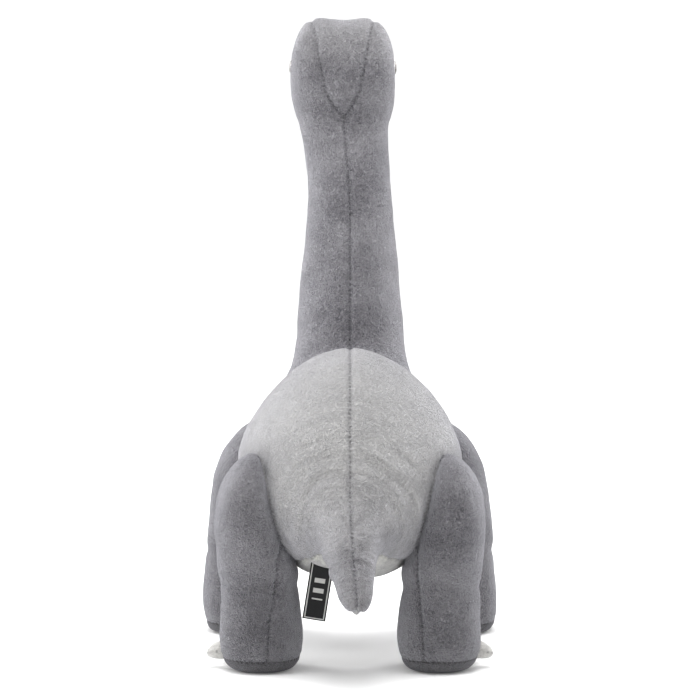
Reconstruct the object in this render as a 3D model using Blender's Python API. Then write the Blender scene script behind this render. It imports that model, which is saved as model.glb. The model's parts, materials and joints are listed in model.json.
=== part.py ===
"""Stuffed long-necked dinosaur, standing on four legs, as sewn fabric panels over fibre filling.

Metres, +Z up. The face looks along -Y, the tail points along +Y, the dinosaur's left side is +X. The
origin is on the floor, under the middle of the object's box.

Torso, neck, head, tail and legs are lofts through rounded sections. A fabric panel is a region cut out
of a loft, less a slightly smaller loft, and the filling is a loft smaller still. Neck, head, tail and
legs each turn about an axis along X, and the end that sits in a socket is round about that axis.
"""
import math

import bmesh
import bpy
from mathutils import Matrix, Vector

# Overall
LENGTH = 0.345           # snout to tail tip
FABRIC = 0.0016          # thickness of the plush with its pile
GAP = 0.0004             # between two pieces that touch
INSET = FABRIC + GAP     # how far the filling lies inside the outer form
SEAM = 0.0002            # half of the gap between two panels sewn edge to edge
CLEARANCE = 0.001        # around a limb's round end in its socket
STRIP_MARGIN, STRIP_DEPTH, TAIL_STRIP_DEPTH = 0.01, 0.1, 0.05   # how cutting strips overlap a form
FAR = 0.3                # reaches past the whole object

# Joint axes, all along X, as (y, z)
NECK_BASE = (-0.052, 0.168)
NECK_TOP = (-0.090, 0.332)
TAIL_ROOT = (0.083, 0.106)
SHOULDER = (-0.074, 0.098)
HIP = (0.060, 0.096)
SWING = math.radians(16)     # clearance each way for neck, head and tail
TAIL_DROOP = math.radians(28)

# Torso: (y, centre z, half width, height above the centre, depth below it)
TORSO = [
    (0.1065, 0.112, 0.013, 0.013, 0.013),
    (0.098, 0.113, 0.036, 0.027, 0.032),
    (0.080, 0.118, 0.056, 0.043, 0.051),
    (0.055, 0.121, 0.0660, 0.057, 0.061),
    (0.030, 0.123, 0.0684, 0.064, 0.066),
    (0.000, 0.124, 0.0684, 0.067, 0.067),
    (-0.030, 0.125, 0.0664, 0.067, 0.065),
    (-0.060, 0.127, 0.0610, 0.061, 0.059),
    (-0.085, 0.128, 0.0500, 0.048, 0.048),
    (-0.100, 0.128, 0.0340, 0.031, 0.032),
    (-0.1065, 0.128, 0.0150, 0.014, 0.014),
]
TORSO_TIPS = (0.1085, -0.1085)
BELLY_HALF_WIDTH = 0.040
BELLY_TOP = 0.0735

# Neck: (share of the way up, half width, half depth)
NECK = [
    (0.00, 0.0358, 0.0360),
    (0.25, 0.0308, 0.0320),
    (0.50, 0.0266, 0.0280),
    (0.75, 0.0255, 0.0260),
    (1.00, 0.0245, 0.0255),
]
THROAT_HALF_WIDTH = 0.013

# Head: (y, centre z, half width, height above the centre, depth below it)
HEAD = [
    (-0.0645, 0.352, 0.0180, 0.0190, 0.0200),
    (-0.074, 0.352, 0.0268, 0.0285, 0.0320),
    (-0.090, 0.352, 0.0306, 0.0325, 0.0400),
    (-0.108, 0.351, 0.0312, 0.0335, 0.0410),
    (-0.125, 0.346, 0.0290, 0.0310, 0.0370),
    (-0.142, 0.339, 0.0258, 0.0245, 0.0290),
    (-0.157, 0.333, 0.0225, 0.0185, 0.0220),
    (-0.168, 0.330, 0.0160, 0.0120, 0.0140),
]
HEAD_TIPS = (-0.060, -LENGTH / 2)
GUSSET_OUTLINE = [(0, 0.3431), (0.014, 0.362), (0.0195, 0.384), (0.0225, 0.400)]  # (x, z), left half
CHIN_TOP = 0.3225
CHIN_BACK = -0.119

# Tail: (distance from the hinge, radius)
TAIL = [(0.000, 0.0185), (0.030, 0.0172), (0.050, 0.0155), (0.073, 0.0112), (0.090, 0.0080),
        (0.098, 0.0052)]
TAIL_UNDERSIDE_HALF_WIDTH = 0.009

# Legs: hip ellipsoid and (z, centre x, half width, centre y, half length) from the sole upwards
SOLE_TOP = 0.0076
HIND_THIGH = {"x": 0.0645, "thickness": 0.0170, "radius": 0.045}
FRONT_THIGH = {"x": 0.0660, "thickness": 0.0195, "radius": 0.037}
HIND_SHANK = [
    (0.000, 0.0550, 0.0225, 0.066, 0.0270),
    (0.004, 0.0550, 0.0246, 0.066, 0.0295),
    (0.012, 0.0552, 0.0254, 0.066, 0.0305),
    (0.032, 0.0556, 0.0245, 0.066, 0.0285),
    (0.048, 0.0562, 0.0233, 0.064, 0.0285),
    (0.059, 0.0590, 0.0218, 0.062, 0.0310),
    (0.072, 0.0640, 0.0165, 0.061, 0.0330),
    (0.085, 0.0645, 0.0155, 0.060, 0.0320),
]
FRONT_SHANK = [
    (0.000, 0.0695, 0.0212, -0.088, 0.0255),
    (0.004, 0.0695, 0.0232, -0.088, 0.0278),
    (0.012, 0.0696, 0.0238, -0.088, 0.0288),
    (0.030, 0.0693, 0.0232, -0.087, 0.0272),
    (0.048, 0.0685, 0.0228, -0.083, 0.0260),
    (0.060, 0.0680, 0.0222, -0.079, 0.0275),
    (0.074, 0.0668, 0.0205, -0.076, 0.0285),
    (0.087, 0.0660, 0.0190, -0.074, 0.0280),
]
CLAW_LENGTH, CLAW_WIDTH, CLAW_HEIGHT = 0.0170, 0.0135, 0.0110
CLAW_Z = 0.0118
CLAW_TAPER = 0.45                # share by which a claw narrows to its tip
CLAW_BURIED = 0.0015             # how far a claw's centre lies inside the foot's outline
HIND_CLAWS = (8, 44, 80)         # degrees from straight ahead towards the outer side
FRONT_CLAWS = (-38, 0, 38)

# Eyes and nostrils
EYE_Y, EYE_Z = -0.108, 0.354
EYE_RADIUS, EYE_HEIGHT, EYE_STEM_RADIUS, EYE_STEM = 0.0060, 0.0036, 0.0015, 0.0100
WASHER_RADIUS, WASHER_THICKNESS = 0.0070, 0.0012
WASHER_SLACK = 0.0012            # from the lining to the washer
TURNED_FACETS = 20
NOSTRIL_Y, NOSTRIL_Z = -0.1600, 0.3400
NOSTRIL_SIZE = (0.0016, 0.0036, 0.0026)

# Label
LABEL_WIDTH, LABEL_LENGTH, LABEL_THICKNESS = 0.0138, 0.0360, 0.0009
LABEL_TOP = (0.0178, 0.0855, 0.0735)
LABEL_TILT = math.radians(9)

# Facets
AROUND_TRUNK, AROUND_LIMB = 20, 16
SOCKET_FACETS, DISC_FACETS = 16, 32
SOCKET_REACH, TAIL_REACH = 0.16, 0.12
END_RISE = 0.004                 # how far a shank's rounded top rises past its last section
END_SHARE = 0.4                  # share of its half width that a limb's round end keeps at its tip
POWER_TORSO, POWER_NECK, POWER_HEAD, POWER_LEG = 1.95, 2.1, 2.5, 2.4

GREY, PALE, CREAM, BLACK = (0.36, 0.36, 0.38), (0.66, 0.66, 0.67), (0.85, 0.84, 0.80), (0.02, 0.02, 0.02)
FIBRE, SOLE_GREY = (0.90, 0.90, 0.88), (0.28, 0.28, 0.30)


# ---- scene

def clear_scene():
    for obj in list(bpy.data.objects):
        bpy.data.objects.remove(obj, do_unlink=True)


def new_collection(name):
    collection = bpy.data.collections.new(name)
    bpy.context.scene.collection.children.link(collection)
    return collection


def new_material(name, colour, roughness, metallic=0.0):
    material = bpy.data.materials.new(name)
    material.use_nodes = True
    shader = material.node_tree.nodes["Principled BSDF"]
    shader.inputs["Base Color"].default_value = (*colour, 1.0)
    shader.inputs["Roughness"].default_value = roughness
    shader.inputs["Metallic"].default_value = metallic
    material.diffuse_color = (*colour, 1.0)
    return material


clear_scene()
PARTS = new_collection("stuffed_dinosaur")
TOOLS = new_collection("cutters")


def add_object(name, bm, collection=PARTS):
    """Turn bm into an object and smooth it."""
    bmesh.ops.recalc_face_normals(bm, faces=bm.faces)
    mesh = bpy.data.meshes.new(name)
    bm.to_mesh(mesh)
    bm.free()
    mesh.shade_smooth()
    obj = bpy.data.objects.new(name, mesh)
    collection.objects.link(obj)
    if collection is TOOLS:
        obj.hide_render = True
        obj.display_type = "WIRE"
    return obj


def cutter(name, bm):
    return add_object(name, bm, TOOLS)


def paint(obj, colour, roughness=0.9):
    obj.data.materials.clear()
    obj.data.materials.append(new_material(obj.name, colour, roughness))


def boolean(obj, operation, *tools):
    for tool in tools:
        modifier = obj.modifiers.new(f"{operation.lower()} {tool.name}", "BOOLEAN")
        modifier.operation = operation
        modifier.object = tool
        modifier.solver = "EXACT"


def piece_from(name, source, colour, roughness=0.9):
    """A named piece that starts as a copy of a tool's mesh."""
    obj = bpy.data.objects.new(name, source.data.copy())
    PARTS.objects.link(obj)
    paint(obj, colour, roughness)
    return obj


# ---- forms

def rounded(angle, power):
    """The two unit coordinates of a superellipse at angle."""
    c, s = math.cos(angle), math.sin(angle)
    return math.copysign(abs(c) ** (2 / power), c), math.copysign(abs(s) ** (2 / power), s)


def ring(centre, across, upwards, half_width, up, down, count, power):
    points = []
    for k in range(count):
        c, s = rounded(2 * math.pi * (k + 0.5) / count, power)
        points.append(Vector(centre) + across * half_width * c + upwards * (up if s > 0 else down) * s)
    return points


def skin_rings(rings, tips):
    """A closed bmesh over rings of equal count. A tip is a point, or None for a flat end."""
    bm = bmesh.new()
    loops = [[bm.verts.new(p) for p in points] for points in rings]
    count = len(loops[0])
    for near, far in zip(loops, loops[1:]):
        for k in range(count):
            n = (k + 1) % count
            bm.faces.new((near[k], near[n], far[n], far[k]))
    for loop, tip in zip((loops[0], loops[-1]), tips):
        if tip is None:
            bm.faces.new(loop)
            continue
        point = bm.verts.new(tip)
        for k in range(count):
            bm.faces.new((loop[k], loop[(k + 1) % count], point))
    bmesh.ops.recalc_face_normals(bm, faces=bm.faces)
    return bm


def shrink(bm, inset):
    bm.normal_update()
    moves = [(v, v.normal * inset) for v in bm.verts]
    for v, move in moves:
        v.co -= move
    return bm


X_AXIS = Vector((1, 0, 0))
Z_AXIS = Vector((0, 0, 1))


def sagittal(angle):
    """Path direction and dorsal direction of a trunk section: 0 is forwards, 90 degrees is upwards."""
    return (Vector((0, -math.cos(angle), math.sin(angle))),
            Vector((0, math.sin(angle), math.cos(angle))))


def at(point):
    return Vector((0, *point))


def torso_form(inset=0.0):
    rings = [ring((0, y, z), X_AXIS, Z_AXIS, w, up, down, AROUND_TRUNK, POWER_TORSO)
             for y, z, w, up, down in TORSO]
    tips = [(0, TORSO_TIPS[0], TORSO[0][1]), (0, TORSO_TIPS[1], TORSO[-1][1])]
    return shrink(skin_rings(rings, tips), inset)


def head_form(inset=0.0):
    rings = [ring((0, y, z), X_AXIS, Z_AXIS, w, up, down, AROUND_TRUNK, POWER_HEAD)
             for y, z, w, up, down in HEAD]
    tips = [(0, HEAD_TIPS[0], HEAD[0][1]), (0, HEAD_TIPS[1], HEAD[-1][1])]
    return shrink(skin_rings(rings, tips), inset)


def round_end(radius, half_width, outwards):
    """Sections of an end that is round about its hinge: (distance past the hinge, half width, half depth)."""
    angles = [math.radians(a) for a in (22, 44, 64, 80)]
    rows = [(radius * math.sin(a), half_width * (END_SHARE + (1 - END_SHARE) * math.cos(a)), radius * math.cos(a))
            for a in angles]
    return rows if outwards else rows[::-1]


def neck_form(inset=0.0, round_ends=True):
    base, top = at(NECK_BASE), at(NECK_TOP)
    length = (top - base).length
    forwards = (top - base).normalized()
    dorsal = Vector((0, forwards.z, -forwards.y))
    rows = [(share * length, w, depth) for share, w, depth in NECK]
    tips = [None, None]
    if round_ends:
        (_, base_width, base_radius), (_, top_width, top_radius) = rows[0], rows[-1]
        rows = ([(-s, w, d) for s, w, d in round_end(base_radius, base_width, False)] + rows
                + [(length + s, w, d) for s, w, d in round_end(top_radius, top_width, True)])
        tips = [base - forwards * base_radius, top + forwards * top_radius]
    rings = [ring(base + forwards * s, X_AXIS, dorsal, w, d, d, AROUND_TRUNK, POWER_NECK)
             for s, w, d in rows]
    return shrink(skin_rings(rings, tips), inset)


def tail_form(inset=0.0, round_root=True):
    outwards, dorsal = -sagittal(TAIL_DROOP)[0], sagittal(TAIL_DROOP)[1]
    root = at(TAIL_ROOT)
    rows = [(s, r, r) for s, r in TAIL]
    root_tip = None
    if round_root:
        radius = rows[0][1]
        rows = [(-s, w, d) for s, w, d in round_end(radius, radius, False)] + rows
        root_tip = root - outwards * radius
    tail_length = (LENGTH / 2 - TAIL_ROOT[0]) / math.cos(TAIL_DROOP)
    rings = [ring(root + outwards * s, X_AXIS, dorsal, w, d, d, AROUND_LIMB, POWER_NECK)
             for s, w, d in rows]
    return shrink(skin_rings(rings, [root_tip, root + outwards * tail_length]), inset)


def shank_form(rows, side, inset=0.0):
    rings = [ring((side * x, y, z), X_AXIS, Vector((0, 1, 0)), w, half, half, AROUND_LIMB, POWER_LEG)
             for z, x, w, y, half in rows]
    z, x, _, y, _ = rows[-1]
    return shrink(skin_rings(rings, [None, (side * x, y, z + END_RISE)]), inset)


def thigh_form(thigh, hinge, side, inset=0.0):
    bm = bmesh.new()
    size = (thigh["thickness"] - inset, thigh["radius"] - inset, thigh["radius"] - inset)
    place = Matrix.Translation((side * thigh["x"], *hinge)) @ Matrix.Diagonal((*size, 1))
    upright = Matrix.Rotation(math.pi / 2, 4, "Y")
    bmesh.ops.create_uvsphere(bm, u_segments=AROUND_LIMB, v_segments=8, radius=1.0,
                              matrix=place @ upright)
    return bm


# ---- simple cutters

def box(name, low, high):
    bm = bmesh.new()
    size = [h - l for l, h in zip(low, high)]
    middle = [(h + l) / 2 for l, h in zip(low, high)]
    bmesh.ops.create_cube(bm, size=1.0, matrix=Matrix.Translation(middle) @ Matrix.Diagonal((*size, 1)))
    return cutter(name, bm)


def prism(name, outline, along, start, end):
    """Extrude a closed outline of points in the plane across `along` from start to end."""
    bm = bmesh.new()
    face = bm.faces.new([bm.verts.new(Vector(p) + along * start) for p in outline])
    moved = bmesh.ops.extrude_face_region(bm, geom=[face])["geom"]
    bmesh.ops.translate(bm, verts=[g for g in moved if isinstance(g, bmesh.types.BMVert)],
                        vec=along * (end - start))
    return cutter(name, bm)


def disc(name, radius, centre, x_low, x_high):
    bm = bmesh.new()
    turn = Matrix.Translation(((x_low + x_high) / 2, *centre)) @ Matrix.Rotation(math.pi / 2, 4, "Y")
    bmesh.ops.create_cone(bm, cap_ends=True, segments=DISC_FACETS, radius1=radius, radius2=radius,
                          depth=x_high - x_low, matrix=turn)
    return cutter(name, bm)


def socket(name, hinge, radius, limb_angle, half_width):
    """Room for a limb that turns about hinge: a round seat, and walls that open by SWING each way."""
    reach = SOCKET_REACH
    half_seat = math.pi / 2 - SWING
    seat = [limb_angle + math.pi + half_seat * (2 * i / SOCKET_FACETS - 1)
            for i in range(SOCKET_FACETS + 1)]
    outline = [at(hinge) + radius * Vector((0, math.cos(a), math.sin(a))) for a in seat]
    for a, turn in ((seat[-1], math.pi / 2), (seat[0], -math.pi / 2)):
        edge = at(hinge) + radius * Vector((0, math.cos(a), math.sin(a)))
        away = a + turn
        outline.append(edge + reach * Vector((0, math.cos(away), math.sin(away))))
    return prism(name, outline, X_AXIS, -half_width, half_width)


# ---- sub-parts

def split_sides(base_name, shell_source, hollow, colour, keep_out, extra=()):
    """Left and right fabric panels of a trunk form, meeting on the centre plane."""
    for side, low, high in (("left", SEAM, FAR), ("right", -FAR, -SEAM)):
        panel = piece_from(f"{base_name}_{side}", shell_source, colour)
        half = box(f"{base_name}_{side}_half", (low, -FAR, -FAR), (high, FAR, FAR + FAR))
        boolean(panel, "INTERSECT", half)
        boolean(panel, "DIFFERENCE", hollow, *keep_out, *extra)


def grown_box(name, low, high, by=2 * SEAM):
    return box(name, [v - by for v in low], [v + by for v in high])


def make_torso(sockets):
    outer = cutter("torso_outer", torso_form())
    hollow = cutter("torso_hollow", torso_form(FABRIC))
    belly_low, belly_high = (-BELLY_HALF_WIDTH, -FAR, 0.0), (BELLY_HALF_WIDTH, FAR, BELLY_TOP)
    belly_room = grown_box("belly_room", belly_low, belly_high)
    split_sides("torso_panel", outer, hollow, GREY, [belly_room], sockets)
    belly = piece_from("belly_panel", outer, PALE)
    boolean(belly, "INTERSECT", box("belly_region", belly_low, belly_high))
    boolean(belly, "DIFFERENCE", hollow, *sockets)
    filling = add_object("torso_filling", torso_form(INSET))
    paint(filling, FIBRE)
    boolean(filling, "DIFFERENCE", *sockets)


def make_neck():
    outer = cutter("neck_outer", neck_form(0.0, round_ends=False))
    hollow = cutter("neck_hollow", neck_form(FABRIC))
    base, top = at(NECK_BASE), at(NECK_TOP)
    forwards = (top - base).normalized()
    front = Vector((0, -forwards.z, forwards.y))

    def strip(name, half_width):
        low, high = base - forwards * STRIP_MARGIN, top + forwards * STRIP_MARGIN
        corners = [low, low + front * STRIP_DEPTH, high + front * STRIP_DEPTH, high]
        return prism(name, corners, X_AXIS, -half_width, half_width)

    split_sides("neck_panel", outer, hollow, GREY, [strip("throat_room", THROAT_HALF_WIDTH + 2 * SEAM)])
    throat = piece_from("throat_panel", outer, PALE)
    boolean(throat, "INTERSECT", strip("throat_region", THROAT_HALF_WIDTH))
    boolean(throat, "DIFFERENCE", hollow)
    paint(add_object("neck_filling", neck_form(INSET)), FIBRE)


def gusset_prism(name, widen):
    left = [(x + widen, z - widen) for x, z in GUSSET_OUTLINE[1:]]
    bottom = [(0, GUSSET_OUTLINE[0][1] - 2 * widen)]
    outline = bottom + left + [(-x, z) for x, z in reversed(left)]
    return prism(name, [Vector((x, 0, z)) for x, z in outline], Vector((0, 1, 0)), -FAR, FAR)


def make_head(neck_room, eye_rooms):
    outer = cutter("head_outer", head_form())
    hollow = cutter("head_hollow", head_form(FABRIC))
    chin_low, chin_high = (-FAR, -FAR, 0.2), (FAR, CHIN_BACK, CHIN_TOP)
    gusset_room = gusset_prism("gusset_room", 2 * SEAM)
    chin_room = grown_box("chin_room", chin_low, chin_high)
    split_sides("head_panel", outer, hollow, GREY, [gusset_room, chin_room], [neck_room, *eye_rooms])
    gusset = piece_from("head_gusset", outer, GREY)
    boolean(gusset, "INTERSECT", gusset_prism("gusset_region", 0.0))
    boolean(gusset, "DIFFERENCE", hollow)
    chin = piece_from("chin_panel", outer, PALE)
    boolean(chin, "INTERSECT", box("chin_region", chin_low, chin_high))
    boolean(chin, "DIFFERENCE", hollow, neck_room)
    filling = add_object("head_filling", head_form(INSET))
    paint(filling, FIBRE)
    boolean(filling, "DIFFERENCE", neck_room, *eye_rooms)


def make_tail():
    outer = cutter("tail_outer", tail_form(0.0, round_root=False))
    hollow = cutter("tail_hollow", tail_form(FABRIC))
    outwards, dorsal = -sagittal(TAIL_DROOP)[0], sagittal(TAIL_DROOP)[1]
    root = at(TAIL_ROOT)

    def strip(name, half_width):
        near, far = root - outwards * STRIP_MARGIN, root + outwards * TAIL_REACH
        corners = [near, near - dorsal * TAIL_STRIP_DEPTH, far - dorsal * TAIL_STRIP_DEPTH, far]
        return prism(name, corners, X_AXIS, -half_width, half_width)

    room = strip("underside_room", TAIL_UNDERSIDE_HALF_WIDTH + 2 * SEAM)
    split_sides("tail_panel", outer, hollow, GREY, [room])
    under = piece_from("tail_underside_panel", outer, PALE)
    boolean(under, "INTERSECT", strip("underside_region", TAIL_UNDERSIDE_HALF_WIDTH))
    boolean(under, "DIFFERENCE", hollow)
    paint(add_object("tail_filling", tail_form(INSET)), FIBRE)


def make_claw(name, side, rows, angle):
    """A flattened pointed claw that lies against the foot's outline."""
    _, x, half_width, y, half_length = rows[2]
    outwards = Vector((side * math.sin(angle), -math.cos(angle), 0))
    radius = 1 / math.sqrt((outwards.x / half_width) ** 2 + (outwards.y / half_length) ** 2)
    centre = Vector((side * x, y, CLAW_Z)) + outwards * (radius - CLAW_BURIED)
    bm = bmesh.new()
    bmesh.ops.create_uvsphere(bm, u_segments=12, v_segments=8, radius=1.0)
    for v in bm.verts:
        taper = 1.0 - CLAW_TAPER * max(v.co.y, 0.0)
        v.co.x *= taper * CLAW_WIDTH / 2
        v.co.z *= taper * CLAW_HEIGHT / 2
        v.co.y *= CLAW_LENGTH / 2
    turn = outwards.to_track_quat("Y", "Z").to_matrix().to_4x4()
    bmesh.ops.transform(bm, matrix=Matrix.Translation(centre) @ turn, verts=bm.verts)
    claw = add_object(name, bm)
    paint(claw, CREAM, 0.8)
    return claw


def make_leg(name, side, thigh, hinge, shank, claws):
    """Sole pad, outer and inner fabric panels, filling and claws of one leg."""

    def form(kind, inset):
        body = cutter(f"{name}_{kind}", shank_form(shank, side, inset))
        boolean(body, "UNION", cutter(f"{name}_{kind}_thigh", thigh_form(thigh, hinge, side, inset)))
        return body

    outer, hollow, core = form("outer", 0.0), form("hollow", FABRIC), form("core", INSET)
    middle = side * thigh["x"]
    above_sole = SOLE_TOP + 2 * SEAM
    outside = sorted((middle + side * SEAM, side * FAR))
    inside = sorted((middle - side * SEAM, -side * FAR))
    claw_room = cutter(f"{name}_claw_room", shank_form(shank, side, -GAP))

    for panel_name, span in ((f"{name}_outer_panel", outside), (f"{name}_inner_panel", inside)):
        panel = piece_from(panel_name, outer, GREY)
        for modifier in outer.modifiers:
            boolean(panel, modifier.operation, modifier.object)
        boolean(panel, "INTERSECT",
                box(f"{panel_name}_region", (span[0], -FAR, above_sole), (span[1], FAR, FAR)))
        boolean(panel, "DIFFERENCE", hollow)

    sole = piece_from(f"{name}_sole", outer, SOLE_GREY)
    boolean(sole, "INTERSECT", box(f"{name}_sole_region", (-FAR, -FAR, -FAR), (FAR, FAR, SOLE_TOP)))

    filling = piece_from(f"{name}_filling", core, FIBRE)
    for modifier in core.modifiers:
        boolean(filling, modifier.operation, modifier.object)
    boolean(filling, "INTERSECT",
            box(f"{name}_filling_region", (-FAR, -FAR, SOLE_TOP + GAP), (FAR, FAR, FAR)))

    for number, degrees in enumerate(claws, start=1):
        claw = make_claw(f"{name}_claw_{number}", side, shank, math.radians(degrees))
        boolean(claw, "DIFFERENCE", claw_room)


def turned(name, profile, centre, side, colour=None, roughness=0.3):
    """Turn (distance outwards along X, radius) points about an X axis through centre."""
    rings = [[Vector(centre) + Vector((side * out, radius * math.cos(a), radius * math.sin(a)))
              for a in [2 * math.pi * k / TURNED_FACETS for k in range(TURNED_FACETS)]]
             for out, radius in profile]
    bm = skin_rings(rings, [None, None])
    if colour is None:
        return cutter(name, bm)
    obj = add_object(name, bm)
    paint(obj, colour, roughness)
    return obj


def head_surface_x(y, z):
    """Half width of the head's outer form at (y, z)."""
    behind, ahead = next((a, b) for a, b in zip(HEAD, HEAD[1:]) if a[0] >= y > b[0])
    share = (y - behind[0]) / (ahead[0] - behind[0])
    _, centre, width, up, down = (a + (b - a) * share for a, b in zip(behind, ahead))
    height = (z - centre) / (up if z > centre else down)
    return width * (1 - abs(height) ** POWER_HEAD) ** (1 / POWER_HEAD)


def make_eyes():
    """Safety eyes and their washers. Returns the room that each eye needs in fabric and filling."""
    seat = head_surface_x(EYE_Y, EYE_Z) + GAP
    inner = seat - GAP - INSET - WASHER_SLACK
    rooms = []
    for side_name, side in (("left", 1), ("right", -1)):
        centre = (0, EYE_Y, EYE_Z)
        arc = [math.radians(a) for a in (0, 20, 40, 60, 78)]
        dome = [(seat + EYE_HEIGHT * math.sin(a), EYE_RADIUS * math.cos(a)) for a in arc]
        profile = [(seat - EYE_STEM, EYE_STEM_RADIUS), (seat, EYE_STEM_RADIUS)] + dome
        turned(f"eye_{side_name}", profile, centre, side, BLACK, 0.1)
        washer = turned(f"eye_washer_{side_name}",
                        [(inner - WASHER_THICKNESS, WASHER_RADIUS), (inner, WASHER_RADIUS)],
                        centre, side, PALE, 0.5)
        hole = turned(f"washer_hole_{side_name}",
                      [(inner - EYE_STEM / 2, EYE_STEM_RADIUS + GAP), (inner + EYE_STEM / 2, EYE_STEM_RADIUS + GAP)],
                      centre, side)
        boolean(washer, "DIFFERENCE", hole)
        rooms.append(turned(f"eye_room_{side_name}",
                            [(seat - EYE_STEM - GAP, EYE_STEM_RADIUS + GAP),
                             (inner - WASHER_THICKNESS - GAP, EYE_STEM_RADIUS + GAP),
                             (inner - WASHER_THICKNESS - GAP, WASHER_RADIUS + GAP),
                             (inner + GAP, WASHER_RADIUS + GAP),
                             (inner + GAP, EYE_STEM_RADIUS + GAP),
                             (seat + INSET, EYE_STEM_RADIUS + GAP)],
                            centre, side))
    return rooms


def make_nostrils():
    head_room = cutter("nostril_room", head_form(-GAP))
    surface = head_surface_x(NOSTRIL_Y, NOSTRIL_Z)
    for side_name, side in (("left", 1), ("right", -1)):
        bm = bmesh.new()
        place = Matrix.Translation((side * surface, NOSTRIL_Y, NOSTRIL_Z))
        bmesh.ops.create_uvsphere(bm, u_segments=12, v_segments=8, radius=1.0,
                                  matrix=place @ Matrix.Diagonal((*NOSTRIL_SIZE, 1)))
        nostril = add_object(f"nostril_{side_name}", bm)
        paint(nostril, BLACK, 0.7)
        boolean(nostril, "DIFFERENCE", head_room)


def make_label():
    bm = bmesh.new()
    size = (LABEL_WIDTH, LABEL_THICKNESS, LABEL_LENGTH)
    bmesh.ops.create_cube(bm, size=1.0, matrix=Matrix.Diagonal((*size, 1)))
    bmesh.ops.translate(bm, verts=bm.verts, vec=(0, 0, -LABEL_LENGTH / 2))
    label = add_object("rear_label", bm)
    label.location = LABEL_TOP
    label.rotation_euler = (0, -LABEL_TILT, 0)
    paint(label, BLACK, 0.7)
    boolean(label, "DIFFERENCE", cutter("label_seat", torso_form(-GAP)))


def main():
    neck_angle = math.atan2(NECK_TOP[1] - NECK_BASE[1], NECK_TOP[0] - NECK_BASE[0])
    hind = (HIND_THIGH, HIP, HIND_SHANK, HIND_CLAWS)
    front = (FRONT_THIGH, SHOULDER, FRONT_SHANK, FRONT_CLAWS)
    legs = [("hind_left", 1, *hind), ("hind_right", -1, *hind),
            ("front_left", 1, *front), ("front_right", -1, *front)]
    torso_rooms = [
        socket("neck_room", NECK_BASE, NECK[0][2] + CLEARANCE, neck_angle, NECK[0][1] + CLEARANCE),
        socket("tail_room", TAIL_ROOT, TAIL[0][1] + CLEARANCE, -TAIL_DROOP, TAIL[0][1] + CLEARANCE),
    ]
    for name, side, thigh, hinge, _, _ in legs:
        span = sorted((side * (thigh["x"] - thigh["thickness"] - CLEARANCE), side * FAR))
        torso_rooms.append(disc(f"{name}_room", thigh["radius"] + CLEARANCE, hinge, *span))
    neck_in_head = socket("neck_in_head_room", NECK_TOP, NECK[-1][2] + CLEARANCE,
                          neck_angle + math.pi, NECK[-1][1] + CLEARANCE)
    make_torso(torso_rooms)
    make_neck()
    make_head(neck_in_head, make_eyes())
    make_tail()
    make_nostrils()
    for leg in legs:
        make_leg(*leg)
    make_label()


main()
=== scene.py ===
"""Looks of the stuffed long-necked dinosaur: plush skins, stitched seams, filling, eyes, claws and label.

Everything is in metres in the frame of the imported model: +Z up, face along -Y, tail along +Y.
The trunk (tail, torso, neck and head) is one loft of sections, from the tail's tip to the snout. It is
inflated as cloth between its seams, refined, given seam grooves and folds, and cut into its panels.
"""
import json
import math

import bmesh
import bpy
import numpy as np
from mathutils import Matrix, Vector, noise
from mathutils.bvhtree import BVHTree
from mathutils.kdtree import KDTree


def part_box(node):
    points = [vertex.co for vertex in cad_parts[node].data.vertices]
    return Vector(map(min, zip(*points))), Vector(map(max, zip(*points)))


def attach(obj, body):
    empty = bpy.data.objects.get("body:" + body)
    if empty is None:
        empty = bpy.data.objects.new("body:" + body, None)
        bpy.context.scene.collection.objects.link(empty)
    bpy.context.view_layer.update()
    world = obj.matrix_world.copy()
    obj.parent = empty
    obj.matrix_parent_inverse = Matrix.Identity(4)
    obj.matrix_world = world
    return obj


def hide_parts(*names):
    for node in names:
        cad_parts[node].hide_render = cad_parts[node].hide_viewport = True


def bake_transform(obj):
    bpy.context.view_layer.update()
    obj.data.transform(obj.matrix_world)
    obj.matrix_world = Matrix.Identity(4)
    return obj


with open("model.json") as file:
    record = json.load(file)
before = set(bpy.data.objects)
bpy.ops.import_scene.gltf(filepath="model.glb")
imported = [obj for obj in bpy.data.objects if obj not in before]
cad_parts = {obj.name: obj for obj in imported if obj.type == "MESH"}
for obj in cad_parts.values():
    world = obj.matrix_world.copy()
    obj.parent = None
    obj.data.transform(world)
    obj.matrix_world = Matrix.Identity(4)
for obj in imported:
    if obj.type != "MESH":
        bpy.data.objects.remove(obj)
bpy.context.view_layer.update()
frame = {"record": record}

# ---- joints and directions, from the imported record
JOINTS = {j["name"]: j for j in frame["record"]["behaviour"]["joints"]}
NECK_BASE = np.array(JOINTS["neck_flex"]["pos_m"])
NECK_TOP = np.array(JOINTS["head_nod"]["pos_m"])
TAIL_ROOT = np.array(JOINTS["tail_lift"]["pos_m"])
NECK_DIRECTION = (NECK_TOP - NECK_BASE) / np.linalg.norm(NECK_TOP - NECK_BASE)
TAIL_DROOP = math.radians(28)
TAIL_DIRECTION = np.array((0.0, math.cos(TAIL_DROOP), -math.sin(TAIL_DROOP)))
TAIL_ARCH = TAIL_ROOT + TAIL_DIRECTION * 0.030  # middle of the folds and combed rings of the rump

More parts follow.
